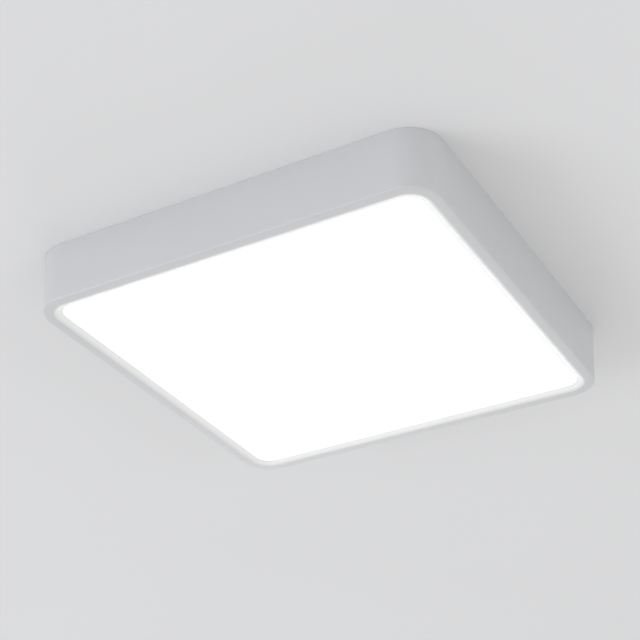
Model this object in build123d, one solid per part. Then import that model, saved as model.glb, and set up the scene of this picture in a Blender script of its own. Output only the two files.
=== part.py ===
from build123d import *

import math
import os

# Square surface-mounted LED ceiling light, in millimetres.
# The origin is on the ceiling, at the middle of the bracket, and the light hangs below it.

# Outer frame
body_height = 43.0
face_width = 295.0
side_flare = 2.5
face_corner_radius = 22.7
frame_wall = 2.0
ceiling_gap = 0.1
rim_width = 5.8
lip_width = 5.7
lip_rise = 1.9
lip_edge = 0.2
window_corner_radius = 11.2
face_edge_round = 1.0
rim_crease_round = 1.2
pilot_wall = 0.9

# Optical stack, from the window up
diffuser_thickness = 1.8
guide_thickness = 3.0
guide_corner_radius = 16.0
reflector_thickness = 0.3
foam_thickness = 2.8
foam_margin = 1.6
foam_relief = 0.8

# Back plate
plate_thickness = 0.8
plate_clearance = 0.4
plate_bead_inset = 16.0
plate_bead_width = 8.0
plate_bead_height = 1.2
plate_screws_per_side = 3
plate_screw_corner = 35.7
plate_screw_edge = 2.5
plate_screw_length = 6.0
plate_screw_radius = 1.2
plate_screw_head = 2.4
plate_screw_head_height = 1.6

# LED boards
board_thickness = 1.0
board_end_gap = 2.8
led_count = 26
led_end_inset = 8.25
led_length = 3.5
led_height = 2.8
led_depth = 0.8
led_gap = 0.4
link_wire = 1.0
link_spacing = 3.0

# Ceiling bracket
bracket_end_gap = 6.0
bracket_width = 62.0
bracket_thickness = 1.2
bracket_depth = 12.0
bracket_lip = 2.4
bracket_bend = 1.2
ceiling_slot_spacing = 180.0
ceiling_slot_length = 40.0
ceiling_slot_width = 5.4
box_slot_spacing = 60.0
box_slot_length = 12.0
box_slot_width = 4.2
bracket_bead_width = 6.0
bracket_bead_length = 84.0
bracket_bead_offset = 20.0
bracket_bead_depth = 1.0

# Cable grommet
grommet_hole = 22.0
grommet_bore = 9.0
grommet_flange_reach = 2.0
grommet_flange_thickness = 1.6
grommet_groove_clearance = 0.2

# Spring clips
clip_thickness = 0.5
clip_width = 16.0
clip_foot = 13.0
clip_from_end = 30.0
clip_arm_gap = 0.6
clip_hook_reach = 1.6
clip_hook_gap = 0.35
clip_hook_height = 2.6
clip_lead_in = 4.5
clip_bend = 1.0
rivet_shank = 3.0
rivet_head = 5.0
rivet_head_height = 0.9
rivet_tail = 4.4
rivet_tail_height = 0.6
rivet_spacing = 8.0

# Driver
driver_centre_x = 5.0
driver_to_bracket = 18.8
driver_length = 118.0
driver_width = 42.0
driver_wall = 1.8
driver_corner_radius = 3.0
driver_headroom = 0.8
driver_lid_thickness = 1.8
driver_lid_skirt = 4.0
driver_ear_length = 11.0
driver_ear_thickness = 2.4
fit_clearance = 0.15
circuit_end_gap = 3.2
circuit_side_gap = 2.2
circuit_thickness = 1.6
circuit_standoff = 3.0
standoff_radius = 2.4
standoff_inset = 4.8

# Components in the driver, from the supply end to the lamp end
component_end_margin = 8.0
component_side_margin = 2.5
fuse_radius = 1.9
fuse_length = 8.0
fuse_leg_radius = 0.4
fuse_leg_inset = 0.6
film_length = 6.0
film_width = 13.0
film_height = 11.0
film_corner_radius = 0.8
choke_radius = 6.0
choke_waist_radius = 5.2
choke_height = 10.2
choke_flange = 1.2
rectifier_length = 8.0
rectifier_width = 6.4
rectifier_height = 2.8
input_can_radius = 5.0
input_can_height = 14.0
output_can_radius = 4.0
output_can_height = 12.0
can_groove_depth = 0.3
chip_length = 5.0
chip_width = 4.0
chip_height = 1.6
chip_legs_per_side = 4
chip_leg_pitch = 1.27
chip_leg_width = 0.4
chip_leg_reach = 1.0
chip_leg_thickness = 0.3
transformer_length = 20.0
transformer_height = 15.0
transformer_limb = 4.6
transformer_depth = 10.0
transformer_lift = 2.0
winding_width = 18.0
winding_foot = 3.0
winding_gap = 0.1

# Terminal block
terminal_centre_x = 30.0
terminal_centre_y = -66.0
pole_pitch = 8.0
pole_slot = 6.0
terminal_side_wall = 2.5
terminal_end_wall = 3.5
terminal_corner_radius = 1.0
terminal_ear = 8.0
terminal_ear_thickness = 2.4
entry_radius = 1.7
chamber_length = 13.0
chamber_height = 5.2
chamber_floor = 1.2
chamber_roof = 1.0
lever_thickness = 2.0
lever_hub_radius = 2.4
lever_pin_radius = 1.3
lever_pin_clearance = 0.06
lever_side_clearance = 0.2
lever_hub_inset = 4.6
lever_overhang = 1.5
lever_cam_gap = 0.3
lever_tip_round = 0.6
grip_count = 4
grip_inset = 1.2
grip_pitch = 1.1
grip_width = 0.5
grip_depth = 0.3
clamp_thickness = 0.6

# Screws shared by the driver and the terminal block
small_screw_radius = 1.45
small_screw_head = 2.8
small_screw_head_height = 1.9
screw_point_below = 1.0
recess_radius = 1.3
recess_width = 0.65
recess_depth = 1.1

# Wires
supply_wire = 2.2
led_lead = 1.0
lead_slot_length = 10.0
lead_slot_width = 4.4
lead_spacing = 4.0
lead_from_side = 51.7
lead_sleeve_wall = 0.8
wire_lift = 0.3
supply_turn = 9.0
supply_bend = 6.3
earth_bend = 4.0
earth_straight_out = 14.0
earth_straight_in = 6.0
led_lead_bend = 5.0
led_lead_drop_bend = 2.0
led_lead_swing_x = 10.0
led_lead_swing_y = 4.0
led_lead_rise_y = 18.0

# Earth point
earth_x = 78.0
earth_y = -92.0
stud_radius = 2.0
stud_height = 12.0
stud_head_radius = 3.4
stud_head_height = 0.6
nut_across_flats = 7.0
nut_height = 3.2
washer_radius = 4.2
washer_thickness = 0.8
ring_radius = 4.0
ring_thickness = 0.8
ring_tongue_length = 1.0
ring_tongue_width = 3.2
ring_barrel_length = 7.0
thread_clearance = 0.05

# Levels, measured down from the ceiling
face_z = -body_height
ledge_z = face_z + lip_rise + lip_edge
guide_z = ledge_z + diffuser_thickness
reflector_z = guide_z + guide_thickness
foam_z = reflector_z + reflector_thickness
shelf_z = foam_z + foam_thickness
plate_z = shelf_z + plate_thickness
frame_top_z = -ceiling_gap
led_line_z = guide_z + guide_thickness / 2
board_height = 2 * (led_line_z - ledge_z)
board_top_z = ledge_z + board_height
draft = side_flare / body_height


def skirt_width(z):
    """Outside width of the frame at a level."""
    return face_width + 2 * draft * (z - face_z)


def skirt_radius(z):
    """Outside corner radius of the frame at a level."""
    return face_corner_radius + draft * (z - face_z)


# Widths across the flats, and the corner radii that go with them
shelf_wall_width = skirt_width(shelf_z) - 2 * frame_wall
plate_width = shelf_wall_width - 2 * plate_clearance
plate_corner_radius = skirt_radius(shelf_z) - frame_wall - plate_clearance
screw_line = plate_width / 2 - plate_screw_edge
plate_screw_spread = plate_width - 2 * plate_screw_corner
pocket_width = 2 * (screw_line - plate_screw_radius - pilot_wall)
pocket_corner_radius = face_corner_radius - (face_width - pocket_width) / 2
window_width = face_width - 2 * (rim_width + lip_width)
board_face_width = pocket_width - 2 * board_thickness
guide_width = board_face_width - 2 * (led_depth + led_gap)
board_length = pocket_width - 2 * pocket_corner_radius - 2 * board_end_gap
led_pitch = (board_length - 2 * led_end_inset) / (led_count - 1)
lead_slot_x = lead_from_side - plate_width / 2
lead_slot_y = (pocket_width - board_thickness) / 2
link_corner_radius = pocket_corner_radius - board_thickness / 2
bracket_length = shelf_wall_width - 2 * bracket_end_gap
clip_spread = bracket_length - 2 * clip_from_end
lip_tip_y = bracket_width / 2 - bracket_thickness + bracket_lip

# Driver and terminal block
tallest_component = max(transformer_height, input_can_height, output_can_height, film_height, choke_height)
circuit_z = plate_z + driver_wall + circuit_standoff
part_z = circuit_z + circuit_thickness
driver_top_z = part_z + tallest_component + driver_headroom + driver_lid_thickness
driver_entry_z = part_z + supply_wire / 2 + fit_clearance
driver_centre_y = lip_tip_y + driver_to_bracket + driver_width / 2
circuit_length = driver_length - 2 * (driver_wall + circuit_end_gap)
circuit_width = driver_width - 2 * (driver_wall + circuit_side_gap)
terminal_length = chamber_length + 2 * terminal_end_wall
terminal_width = 2 * pole_pitch + pole_slot + 2 * terminal_side_wall
slot_floor = chamber_floor + chamber_height + chamber_roof
terminal_height = slot_floor + lever_cam_gap + 2 * lever_hub_radius
entry_height = chamber_floor + chamber_height / 2
lever_axis_x = terminal_centre_x + terminal_length / 2 - lever_hub_inset
lever_axis_z = plate_z + terminal_height - lever_hub_radius
ring_z = plate_z + washer_thickness
clip_arm_y = lip_tip_y + clip_arm_gap


def square_face(width, corner_radius, z):
    """A rounded square, level, at a height."""
    return Pos(0, 0, z) * RectangleRounded(width, width, corner_radius)


def square_block(width, corner_radius, low, high):
    """A rounded square plate between two heights."""
    return extrude(square_face(width, corner_radius, low), high - low)


def square_taper(low_width, low_radius, low, high_width, high_radius, high):
    """A rounded square body that widens or narrows between two heights."""
    low_face = square_face(low_width, low_radius, low).face()
    high_face = square_face(high_width, high_radius, high).face()
    return loft([low_face, high_face], ruled=True)


def rod(radius, low, high, x=0.0, y=0.0):
    """An upright cylinder between two heights."""
    return extrude(Pos(x, y, low) * Circle(radius), high - low)


def block(low_corner, high_corner):
    """A box between two corners."""
    size = [high - low for low, high in zip(low_corner, high_corner)]
    middle = [(high + low) / 2 for low, high in zip(low_corner, high_corner)]
    return Pos(*middle) * Box(*size)


def wire_along(points, bend, diameter):
    """A round wire along straight runs joined by tangent arcs."""
    path = FilletPolyline(*points, radius=bend)
    start = Plane(origin=path @ 0, z_dir=path % 0)
    return sweep(start * Circle(diameter / 2), path=path)


def folded_strip(points, bends, thickness):
    """The edge-on outline of a strip folded along a line of points, in a plane."""
    line = FilletPolyline(*points, radius=bends)
    outline = offset(line, thickness, side=Side.RIGHT, closed=True)
    return make_face(outline.edges())


def screw_places():
    """Where the back plate's screws stand on its shelf."""
    places = []
    step = plate_screw_spread / (plate_screws_per_side - 1)
    for side in range(4):
        for number in range(plate_screws_per_side):
            along = number * step - plate_screw_spread / 2
            spot = Rot(0, 0, 90 * side) * Pos(along, -screw_line, 0)
            places.append((spot.position.X, spot.position.Y))
    return places


def clip_places():
    """The middle of each spring clip's foot, and the side of the bracket that it grips."""
    foot_y = clip_arm_y + clip_foot / 2
    return [(end * clip_spread / 2, side * foot_y, side) for end in (-1, 1) for side in (-1, 1)]


def rivet_places():
    """Where the rivets go through the spring clips' feet."""
    return [(x + end * rivet_spacing / 2, y) for x, y, side in clip_places() for end in (-1, 1)]


def driver_screw_places():
    """Where the driver's ears are screwed down."""
    reach = (driver_length + driver_ear_length) / 2
    return [(driver_centre_x + end * reach, driver_centre_y) for end in (-1, 1)]


def terminal_screw_places():
    """Where the terminal housing's ears are screwed down."""
    reach = (terminal_width + terminal_ear) / 2
    return [(terminal_centre_x, terminal_centre_y + end * reach) for end in (-1, 1)]


def pole_y(pole):
    """The middle line of a pole, numbered from -1 to 1."""
    return terminal_centre_y + pole * pole_pitch


def fixings_through_plate():
    """Every screw, rivet and stud that passes through the back plate away from its edge."""
    rivets = [(x, y, rivet_shank / 2, rivet_tail / 2) for x, y in rivet_places()]
    screw_spots = driver_screw_places() + terminal_screw_places()
    screws = [(x, y, small_screw_radius, small_screw_radius) for x, y in screw_spots]
    return rivets + screws + [(earth_x, earth_y, stud_radius, stud_head_radius)]


def make_outer_frame():
    skirt = square_taper(
        face_width, face_corner_radius, face_z,
        skirt_width(frame_top_z), skirt_radius(frame_top_z), frame_top_z,
    )
    face_edges = skirt.faces().sort_by(Axis.Z)[0].outer_wire().edges()
    skirt = fillet(face_edges, face_edge_round)
    skirt -= square_taper(
        shelf_wall_width, skirt_radius(shelf_z) - frame_wall, shelf_z,
        skirt_width(frame_top_z) - 2 * frame_wall, skirt_radius(frame_top_z) - frame_wall, frame_top_z,
    )
    skirt -= square_block(pocket_width, pocket_corner_radius, ledge_z, shelf_z)
    skirt -= square_block(window_width, window_corner_radius, face_z, ledge_z)
    skirt -= square_taper(
        face_width - 2 * rim_width, face_corner_radius - rim_width, face_z,
        window_width, window_corner_radius, face_z + lip_rise,
    )
    crease = skirt.faces().sort_by(Axis.Z)[0].inner_wires()[0].edges()
    skirt = fillet(crease, rim_crease_round)
    pilot = plate_screw_length - plate_thickness
    for x, y in screw_places():
        skirt -= rod(plate_screw_radius, shelf_z - pilot, shelf_z, x, y)
    return skirt


def make_diffuser():
    return square_block(guide_width, guide_corner_radius, ledge_z, guide_z)


def make_light_guide():
    return square_block(guide_width, guide_corner_radius, guide_z, reflector_z)


def make_reflector():
    return square_block(guide_width, guide_corner_radius, reflector_z, foam_z)


def make_foam_pad():
    width = guide_width - 2 * foam_margin
    pad = square_block(width, guide_corner_radius - foam_margin, foam_z, shelf_z)
    for x, y, hole, below in fixings_through_plate():
        pad -= rod(below + foam_relief, shelf_z - 2 * foam_relief, shelf_z, x, y)
    return pad


def make_back_plate():
    plate = square_block(plate_width, plate_corner_radius, shelf_z, plate_z)
    bead_outside = plate_width - 2 * plate_bead_inset
    bead_inside = bead_outside - 2 * plate_bead_width
    bead_radius = plate_corner_radius - plate_bead_inset / 2
    bead_top = plate_z + plate_bead_height
    slope = plate_bead_height
    plate += square_taper(
        bead_outside, bead_radius, plate_z,
        bead_outside - 2 * slope, bead_radius - slope, bead_top,
    ) - square_taper(
        bead_inside, bead_radius - plate_bead_width, plate_z,
        bead_inside + 2 * slope, bead_radius - plate_bead_width + slope, bead_top,
    )
    under_top = shelf_z + plate_bead_height
    plate -= square_taper(
        bead_outside - 2 * plate_thickness, bead_radius - plate_thickness, shelf_z,
        bead_outside - 2 * slope - 2 * plate_thickness, bead_radius - slope - plate_thickness, under_top,
    ) - square_taper(
        bead_inside + 2 * plate_thickness, bead_radius - plate_bead_width + plate_thickness, shelf_z,
        bead_inside + 2 * slope + 2 * plate_thickness,
        bead_radius - plate_bead_width + slope + plate_thickness, under_top,
    )
    for x, y in screw_places():
        plate -= rod(plate_screw_radius, shelf_z, plate_z, x, y)
    for x, y, hole, below in fixings_through_plate():
        plate -= rod(hole, shelf_z, plate_z, x, y)
    slot = Pos(lead_slot_x, lead_slot_y, shelf_z) * SlotOverall(lead_slot_length, lead_slot_width)
    plate -= extrude(slot, plate_thickness)
    return plate


def pan_head_screw(radius, length, head_radius, head_height):
    """A pan-head screw with a cross recess, the seat of its head at the origin."""
    head = rod(head_radius, 0, head_height)
    head = fillet(head.edges().sort_by(Axis.Z)[-1], head_height / 2)
    screw = head + rod(radius, -length, 0)
    half = recess_width / 2
    arm = block((-recess_radius, -half, -recess_depth), (recess_radius, half, recess_depth))
    for turn in (0, 90):
        screw -= Pos(0, 0, head_height) * Rot(0, 0, turn) * arm
    return screw


def make_small_screws(places, ear_thickness):
    """The screws that hold a housing's ears to the back plate."""
    length = ear_thickness + plate_thickness + screw_point_below
    screw = pan_head_screw(small_screw_radius, length, small_screw_head, small_screw_head_height)
    return [Pos(x, y, plate_z + ear_thickness) * screw for x, y in places]


def make_back_plate_screws():
    screw = pan_head_screw(plate_screw_radius, plate_screw_length, plate_screw_head, plate_screw_head_height)
    return [Pos(x, y, plate_z) * screw for x, y in screw_places()]


def make_led_board(side):
    outer_y = -pocket_width / 2
    inner_y = outer_y + board_thickness
    half = board_length / 2
    board = block((-half, outer_y, ledge_z), (half, inner_y, board_top_z))
    return Rot(0, 0, 90 * side) * board


def make_leds(side):
    back_y = -board_face_width / 2
    front_y = back_y + led_depth
    chips = []
    for number in range(led_count):
        x = (number - (led_count - 1) / 2) * led_pitch
        low = (x - led_length / 2, back_y, led_line_z - led_height / 2)
        high = (x + led_length / 2, front_y, led_line_z + led_height / 2)
        chips.append(Rot(0, 0, 90 * side) * block(low, high))
    return chips


def make_corner_links():
    links = []
    line_y = -(pocket_width - board_thickness) / 2
    start_x = board_length / 2
    for side in range(3):
        for level in (-1, 1):
            z = led_line_z + level * link_spacing / 2
            points = [(start_x, line_y, z), (-line_y, line_y, z), (-line_y, -start_x, z)]
            link = wire_along(points, link_corner_radius, link_wire)
            links.append(Rot(0, 0, 90 * side) * link)
    return links


def make_ceiling_bracket():
    half = bracket_width / 2
    inside = half - bracket_thickness
    outer = bracket_bend + bracket_thickness
    start = -bracket_length / 2
    section = Rectangle(2 * half, bracket_depth, align=(Align.CENTER, Align.MAX))
    section = fillet(section.vertices().group_by(Axis.Y)[-1], outer)
    hollow = Rectangle(2 * inside, bracket_depth - bracket_thickness, align=(Align.CENTER, Align.MAX))
    hollow = fillet(hollow.vertices().group_by(Axis.Y)[-1], bracket_bend)
    section -= Pos(0, -bracket_thickness) * hollow
    lips = []
    for side in (-1, 1):
        lip = Pos(side * (inside + lip_tip_y) / 2, -bracket_depth) * Rectangle(
            lip_tip_y - inside, bracket_thickness, align=(Align.CENTER, Align.MIN)
        )
        lips.append(lip)
    section = section + lips
    channel = extrude(Plane.YZ.offset(start) * section, bracket_length)
    web = bracket_thickness
    for side in (-1, 1):
        slot = SlotOverall(ceiling_slot_length, ceiling_slot_width)
        channel -= extrude(Pos(side * ceiling_slot_spacing / 2, 0, -web) * slot, web)
        slot = SlotOverall(box_slot_length, box_slot_width)
        channel -= extrude(Pos(side * box_slot_spacing / 2, 0, -web) * slot, web)
    channel -= rod(grommet_hole / 2, -web, 0)
    for end in (-1, 1):
        for side in (-1, 1):
            spot = Pos(end * ceiling_slot_spacing / 2, side * bracket_bead_offset, 0)
            raised = SlotOverall(bracket_bead_length, bracket_bead_width)
            sunk = SlotOverall(bracket_bead_length - web, bracket_bead_width - web)
            channel += spot * Pos(0, 0, -web - bracket_bead_depth) * extrude(raised, bracket_bead_depth)
            channel -= spot * Pos(0, 0, -bracket_bead_depth) * extrude(sunk, bracket_bead_depth)
    return channel


def make_cable_grommet():
    flange_top = -bracket_thickness - grommet_groove_clearance / 2
    flange_low = flange_top - grommet_flange_thickness
    body = rod((grommet_hole - grommet_groove_clearance) / 2, flange_top, 0)
    body += rod(grommet_hole / 2 + grommet_flange_reach, flange_low, flange_top)
    body = fillet(body.edges().sort_by(Axis.Z)[0], grommet_flange_thickness / 2)
    return body - rod(grommet_bore / 2, flange_low, 0)


def make_spring_clip(x, y, side):
    lip_top = -bracket_depth + bracket_thickness
    knee_z = lip_top - clip_hook_gap
    apex_z = knee_z + clip_hook_height
    points = [
        (clip_arm_y + clip_foot, plate_z),
        (clip_arm_y, plate_z),
        (clip_arm_y, knee_z),
        (clip_arm_y - clip_hook_reach, apex_z),
        (clip_arm_y + clip_hook_reach / 2, apex_z + clip_lead_in),
    ]
    outline = folded_strip(points, clip_bend, clip_thickness)
    strip = extrude(Plane.YZ * outline, clip_width / 2, both=True)
    if side < 0:
        strip = mirror(strip, Plane.XZ)
    strip = Pos(x, 0, 0) * strip
    for end in (-1, 1):
        strip -= rod(rivet_shank / 2, plate_z, plate_z + clip_thickness, x + end * rivet_spacing / 2, y)
    return strip


def make_clip_rivets():
    seat = plate_z + clip_thickness
    head = rod(rivet_head / 2, seat, seat + rivet_head_height)
    head = fillet(head.edges().sort_by(Axis.Z)[-1], rivet_head_height * 0.8)
    tail = rod(rivet_tail / 2, shelf_z - rivet_tail_height, shelf_z)
    rivet = head + rod(rivet_shank / 2, shelf_z, seat) + tail
    return [Pos(x, y, 0) * rivet for x, y in rivet_places()]


def driver_spot(x, y):
    """A place in the driver, measured from the middle of its case."""
    return Pos(driver_centre_x + x, driver_centre_y + y, 0)


def component_spot(column, side, half_width):
    """Where a component stands on the circuit board: its column, and the long edge it is near."""
    lengths = [
        fuse_length,
        film_length,
        2 * choke_radius,
        2 * input_can_radius,
        transformer_length,
        2 * output_can_radius,
    ]
    free = circuit_length - 2 * component_end_margin - sum(lengths)
    gap = free / (len(lengths) - 1)
    before = component_end_margin + sum(lengths[:column]) + gap * column
    x = circuit_length / 2 - before - lengths[column] / 2
    y = side * (circuit_width / 2 - component_side_margin - half_width)
    return driver_spot(x, y) * Pos(0, 0, part_z)


def supply_entry_offsets():
    """Where the live and neutral wires enter the driver, across its width."""
    return (-pole_pitch / 2, pole_pitch / 2)


def led_lead_offsets():
    """Where the leads to the LED boards leave the driver, across its width."""
    return (-lead_spacing / 2, lead_spacing / 2)


def make_driver_case():
    outline = RectangleRounded(driver_length, driver_width, driver_corner_radius)
    hollow = RectangleRounded(
        driver_length - 2 * driver_wall, driver_width - 2 * driver_wall, driver_corner_radius - driver_wall
    )
    rim_z = driver_top_z - driver_lid_thickness
    inside = extrude(Pos(0, 0, plate_z + driver_wall) * hollow, rim_z - plate_z - driver_wall)
    case = extrude(Pos(0, 0, plate_z) * outline, rim_z - plate_z)
    for end in (-1, 1):
        ear = Pos(end * driver_length / 2, 0, plate_z) * SlotOverall(2 * driver_ear_length, driver_ear_length)
        case += extrude(ear, driver_ear_thickness)
    case -= inside
    for x in (-1, 1):
        for y in (-1, 1):
            post_x = x * (circuit_length / 2 - standoff_inset)
            post_y = y * (circuit_width / 2 - standoff_radius)
            case += rod(standoff_radius, plate_z + driver_wall, circuit_z, post_x, post_y)
    for end, spots, diameter in ((1, supply_entry_offsets(), supply_wire), (-1, led_lead_offsets(), led_lead)):
        for across in spots:
            hole = Pos(end * driver_length / 2, across, driver_entry_z) * Rot(0, 90, 0)
            case -= hole * Cylinder(diameter / 2 + fit_clearance, 3 * driver_wall)
    case = driver_spot(0, 0) * case
    for x, y in driver_screw_places():
        case -= rod(small_screw_radius, plate_z, plate_z + driver_ear_thickness, x, y)
    return case


def make_driver_lid():
    low = driver_top_z - driver_lid_thickness
    outline = RectangleRounded(driver_length, driver_width, driver_corner_radius)
    lid = extrude(Pos(0, 0, low) * outline, driver_lid_thickness)
    lid = fillet(lid.faces().sort_by(Axis.Z)[-1].edges(), driver_lid_thickness / 2)
    margin = driver_wall + fit_clearance
    skirt_outer = RectangleRounded(
        driver_length - 2 * margin, driver_width - 2 * margin, driver_corner_radius - driver_wall
    )
    inner = Rectangle(driver_length - 2 * (margin + driver_wall), driver_width - 2 * (margin + driver_wall))
    lid += extrude(Pos(0, 0, low - driver_lid_skirt) * (skirt_outer - inner), driver_lid_skirt)
    return driver_spot(0, 0) * lid


def make_driver_board():
    board = Pos(0, 0, circuit_z) * Rectangle(circuit_length, circuit_width)
    return driver_spot(0, 0) * extrude(board, circuit_thickness)


def make_fuse():
    body = Rot(0, 90, 0) * Cylinder(fuse_radius, fuse_length)
    for end in (-1, 1):
        body += rod(fuse_leg_radius, -fuse_radius, 0, end * (fuse_length / 2 - fuse_leg_inset), 0)
    return component_spot(0, -1, fuse_radius) * Pos(0, 0, fuse_radius) * body


def make_film_capacitor():
    body = extrude(Rectangle(film_length, film_width), film_height)
    body = fillet(body.edges().filter_by(Axis.Z), film_corner_radius)
    return component_spot(1, 1, film_width / 2) * body


def make_line_choke():
    core = rod(choke_radius, 0, choke_flange) + rod(choke_radius, choke_height - choke_flange, choke_height)
    core += rod(choke_waist_radius, choke_flange, choke_height - choke_flange)
    return component_spot(2, -1, choke_radius) * core


def make_rectifier():
    body = extrude(Rectangle(rectifier_length, rectifier_width), rectifier_height)
    return component_spot(2, 1, rectifier_width / 2) * body


def capacitor_can(radius, height):
    """An electrolytic can with a rolled groove near its foot and a rounded top."""
    can = rod(radius, 0, height)
    can = fillet(can.edges().sort_by(Axis.Z)[-1], radius / 6)
    low = height / 6
    high = low + radius / 6
    return can - (rod(radius, low, high) - rod(radius - can_groove_depth, low, high))


def make_input_capacitor():
    return component_spot(3, 1, input_can_radius) * capacitor_can(input_can_radius, input_can_height)


def make_output_capacitor():
    return component_spot(5, 1, output_can_radius) * capacitor_can(output_can_radius, output_can_height)


def make_control_chip():
    body = extrude(Rectangle(chip_length, chip_width), chip_height)
    half_leg = chip_leg_width / 2
    reach = chip_width / 2 + chip_leg_reach
    for number in range(chip_legs_per_side):
        x = (number - (chip_legs_per_side - 1) / 2) * chip_leg_pitch
        body += block((x - half_leg, -reach, 0), (x + half_leg, reach, chip_leg_thickness))
    return component_spot(3, -1, reach) * body


def transformer_spot():
    """The foot of the transformer, on the middle line of the circuit board."""
    return component_spot(4, 0, 0)


def make_transformer_core():
    half = transformer_length / 2
    limb = transformer_limb
    deep = transformer_depth / 2
    core = block((-half, -deep, transformer_lift), (half, deep, transformer_height))
    window = block(
        (-half + limb, -deep, transformer_lift + limb),
        (half - limb, deep, transformer_height - limb),
    )
    return transformer_spot() * (core - window)


def make_transformer_winding():
    half = transformer_length / 2 - transformer_limb - winding_gap
    wide = winding_width / 2
    low = transformer_lift + transformer_limb
    winding = block((-half, -wide, low), (half, wide, transformer_height - transformer_limb))
    for side in (-1, 1):
        foot = Pos(0, side * (wide - winding_foot / 2), low / 2) * Box(2 * half, winding_foot, low)
        winding += foot
    return transformer_spot() * winding


def terminal_spot():
    """The middle of the terminal housing on the back plate."""
    return Pos(terminal_centre_x, terminal_centre_y, plate_z)


def make_terminal_housing():
    front = -terminal_length / 2
    back = terminal_length / 2
    half = pole_slot / 2
    body = extrude(Rectangle(terminal_length, terminal_width), terminal_height)
    body = fillet(body.edges().filter_by(Axis.Z), terminal_corner_radius)
    for end in (-1, 1):
        ear = Pos(0, end * terminal_width / 2, 0) * SlotOverall(2 * terminal_ear, terminal_ear, rotation=90)
        body += extrude(ear, terminal_ear_thickness)
    for pole in (-1, 0, 1):
        y = pole * pole_pitch
        body -= block((front, y - half, slot_floor), (back, y + half, terminal_height))
        body -= block(
            (-chamber_length / 2, y - half, chamber_floor),
            (chamber_length / 2, y + half, chamber_floor + chamber_height),
        )
        body -= Pos(front, y, entry_height) * Rot(0, 90, 0) * Cylinder(entry_radius, terminal_length)
        outlet = Pos(back, y, entry_height) * Rot(0, 90, 0)
        body -= outlet * Cylinder(supply_wire / 2 + fit_clearance, terminal_length)
    body = terminal_spot() * body
    bore_reach = pole_pitch + half + terminal_side_wall / 2
    bore = Pos(lever_axis_x, terminal_centre_y, lever_axis_z) * Rot(90, 0, 0)
    body -= bore * Cylinder(lever_pin_radius + lever_pin_clearance, 2 * bore_reach)
    for x, y in terminal_screw_places():
        body -= rod(small_screw_radius, plate_z, plate_z + terminal_ear_thickness, x, y)
    return body


def make_lever(pole):
    width = pole_slot - 2 * lever_side_clearance
    pin_reach = pole_pitch / 2 - lever_side_clearance
    length = terminal_length - lever_hub_inset + lever_overhang
    top = lever_hub_radius
    arm = block((-length, -width / 2, top - lever_thickness), (0, width / 2, top))
    arm = fillet(arm.edges().filter_by(Axis.Y).sort_by(Axis.X)[:2], lever_tip_round)
    lever = arm + Rot(90, 0, 0) * Cylinder(lever_hub_radius, width)
    lever += Rot(90, 0, 0) * Cylinder(lever_pin_radius, 2 * pin_reach)
    for number in range(grip_count):
        x = -length + grip_inset + number * grip_pitch
        lever -= block((x, -width / 2, top - grip_depth), (x + grip_width, width / 2, top))
    return Pos(lever_axis_x, pole_y(pole), lever_axis_z) * lever


def make_terminal_clamps():
    """Curled leaf springs, one in each pole's chamber, open towards the supply side."""
    half_length = chamber_length / 2 - fit_clearance
    half_width = pole_slot / 2 - fit_clearance
    rise = chamber_height - 2 * fit_clearance
    points = [
        (half_length, 0),
        (-half_length, 0),
        (-half_length + 2 * clamp_thickness, rise),
        (half_length / 4, rise / 2),
    ]
    outline = folded_strip(points, clamp_thickness, clamp_thickness)
    clamp = extrude(Plane.XZ * outline, half_width, both=True)
    floor = plate_z + chamber_floor
    return [Pos(terminal_centre_x, pole_y(pole), floor) * clamp for pole in (-1, 0, 1)]


def supply_lead(pole, across):
    """A supply wire from a pole of the terminal block to the driver."""
    start_x = terminal_centre_x + chamber_length / 2 - clamp_thickness
    start_z = plate_z + entry_height
    end_x = driver_centre_x + circuit_length / 2 - supply_wire
    end_y = driver_centre_y + across
    turn_x = driver_centre_x + driver_length / 2 + driver_ear_length + supply_turn + across
    points = [
        (start_x, pole_y(pole), start_z),
        (turn_x - supply_turn / 2, pole_y(pole), start_z),
        (turn_x, pole_y(pole) + 2 * supply_turn, start_z),
        (turn_x, end_y - 2 * supply_turn, driver_entry_z),
        (turn_x - supply_turn / 2, end_y, driver_entry_z),
        (end_x, end_y, driver_entry_z),
    ]
    return wire_along(points, supply_bend, supply_wire)


def make_lead_earth():
    """The earth wire from the terminal block to the barrel of the ring terminal."""
    start_x = terminal_centre_x + chamber_length / 2 - clamp_thickness
    start_z = plate_z + entry_height
    end_x = earth_x - ring_radius - ring_tongue_length - ring_barrel_length
    end_z = ring_z + supply_wire / 2
    points = [
        (start_x, pole_y(-1), start_z),
        (start_x + earth_straight_out, pole_y(-1), start_z),
        (end_x - earth_straight_in, earth_y, end_z),
        (end_x + ring_barrel_length, earth_y, end_z),
    ]
    return wire_along(points, earth_bend, supply_wire)


def make_led_lead(across, slot_x):
    """A lead from the driver to the top edge of the first LED board."""
    start_x = driver_centre_x - circuit_length / 2 + led_lead
    start_y = driver_centre_y + across
    run_z = plate_z + plate_bead_height + led_lead / 2 + wire_lift
    points = [
        (start_x, start_y, driver_entry_z),
        (driver_centre_x - driver_length / 2 - driver_ear_length, start_y, driver_entry_z),
        (slot_x + led_lead_swing_x, start_y + led_lead_swing_y, run_z),
        (slot_x, start_y + led_lead_rise_y, run_z),
        (slot_x, lead_slot_y, run_z),
        (slot_x, lead_slot_y, board_top_z),
    ]
    bends = [led_lead_bend, led_lead_bend, led_lead_bend, led_lead_drop_bend]
    return wire_along(points, bends, led_lead)


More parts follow.
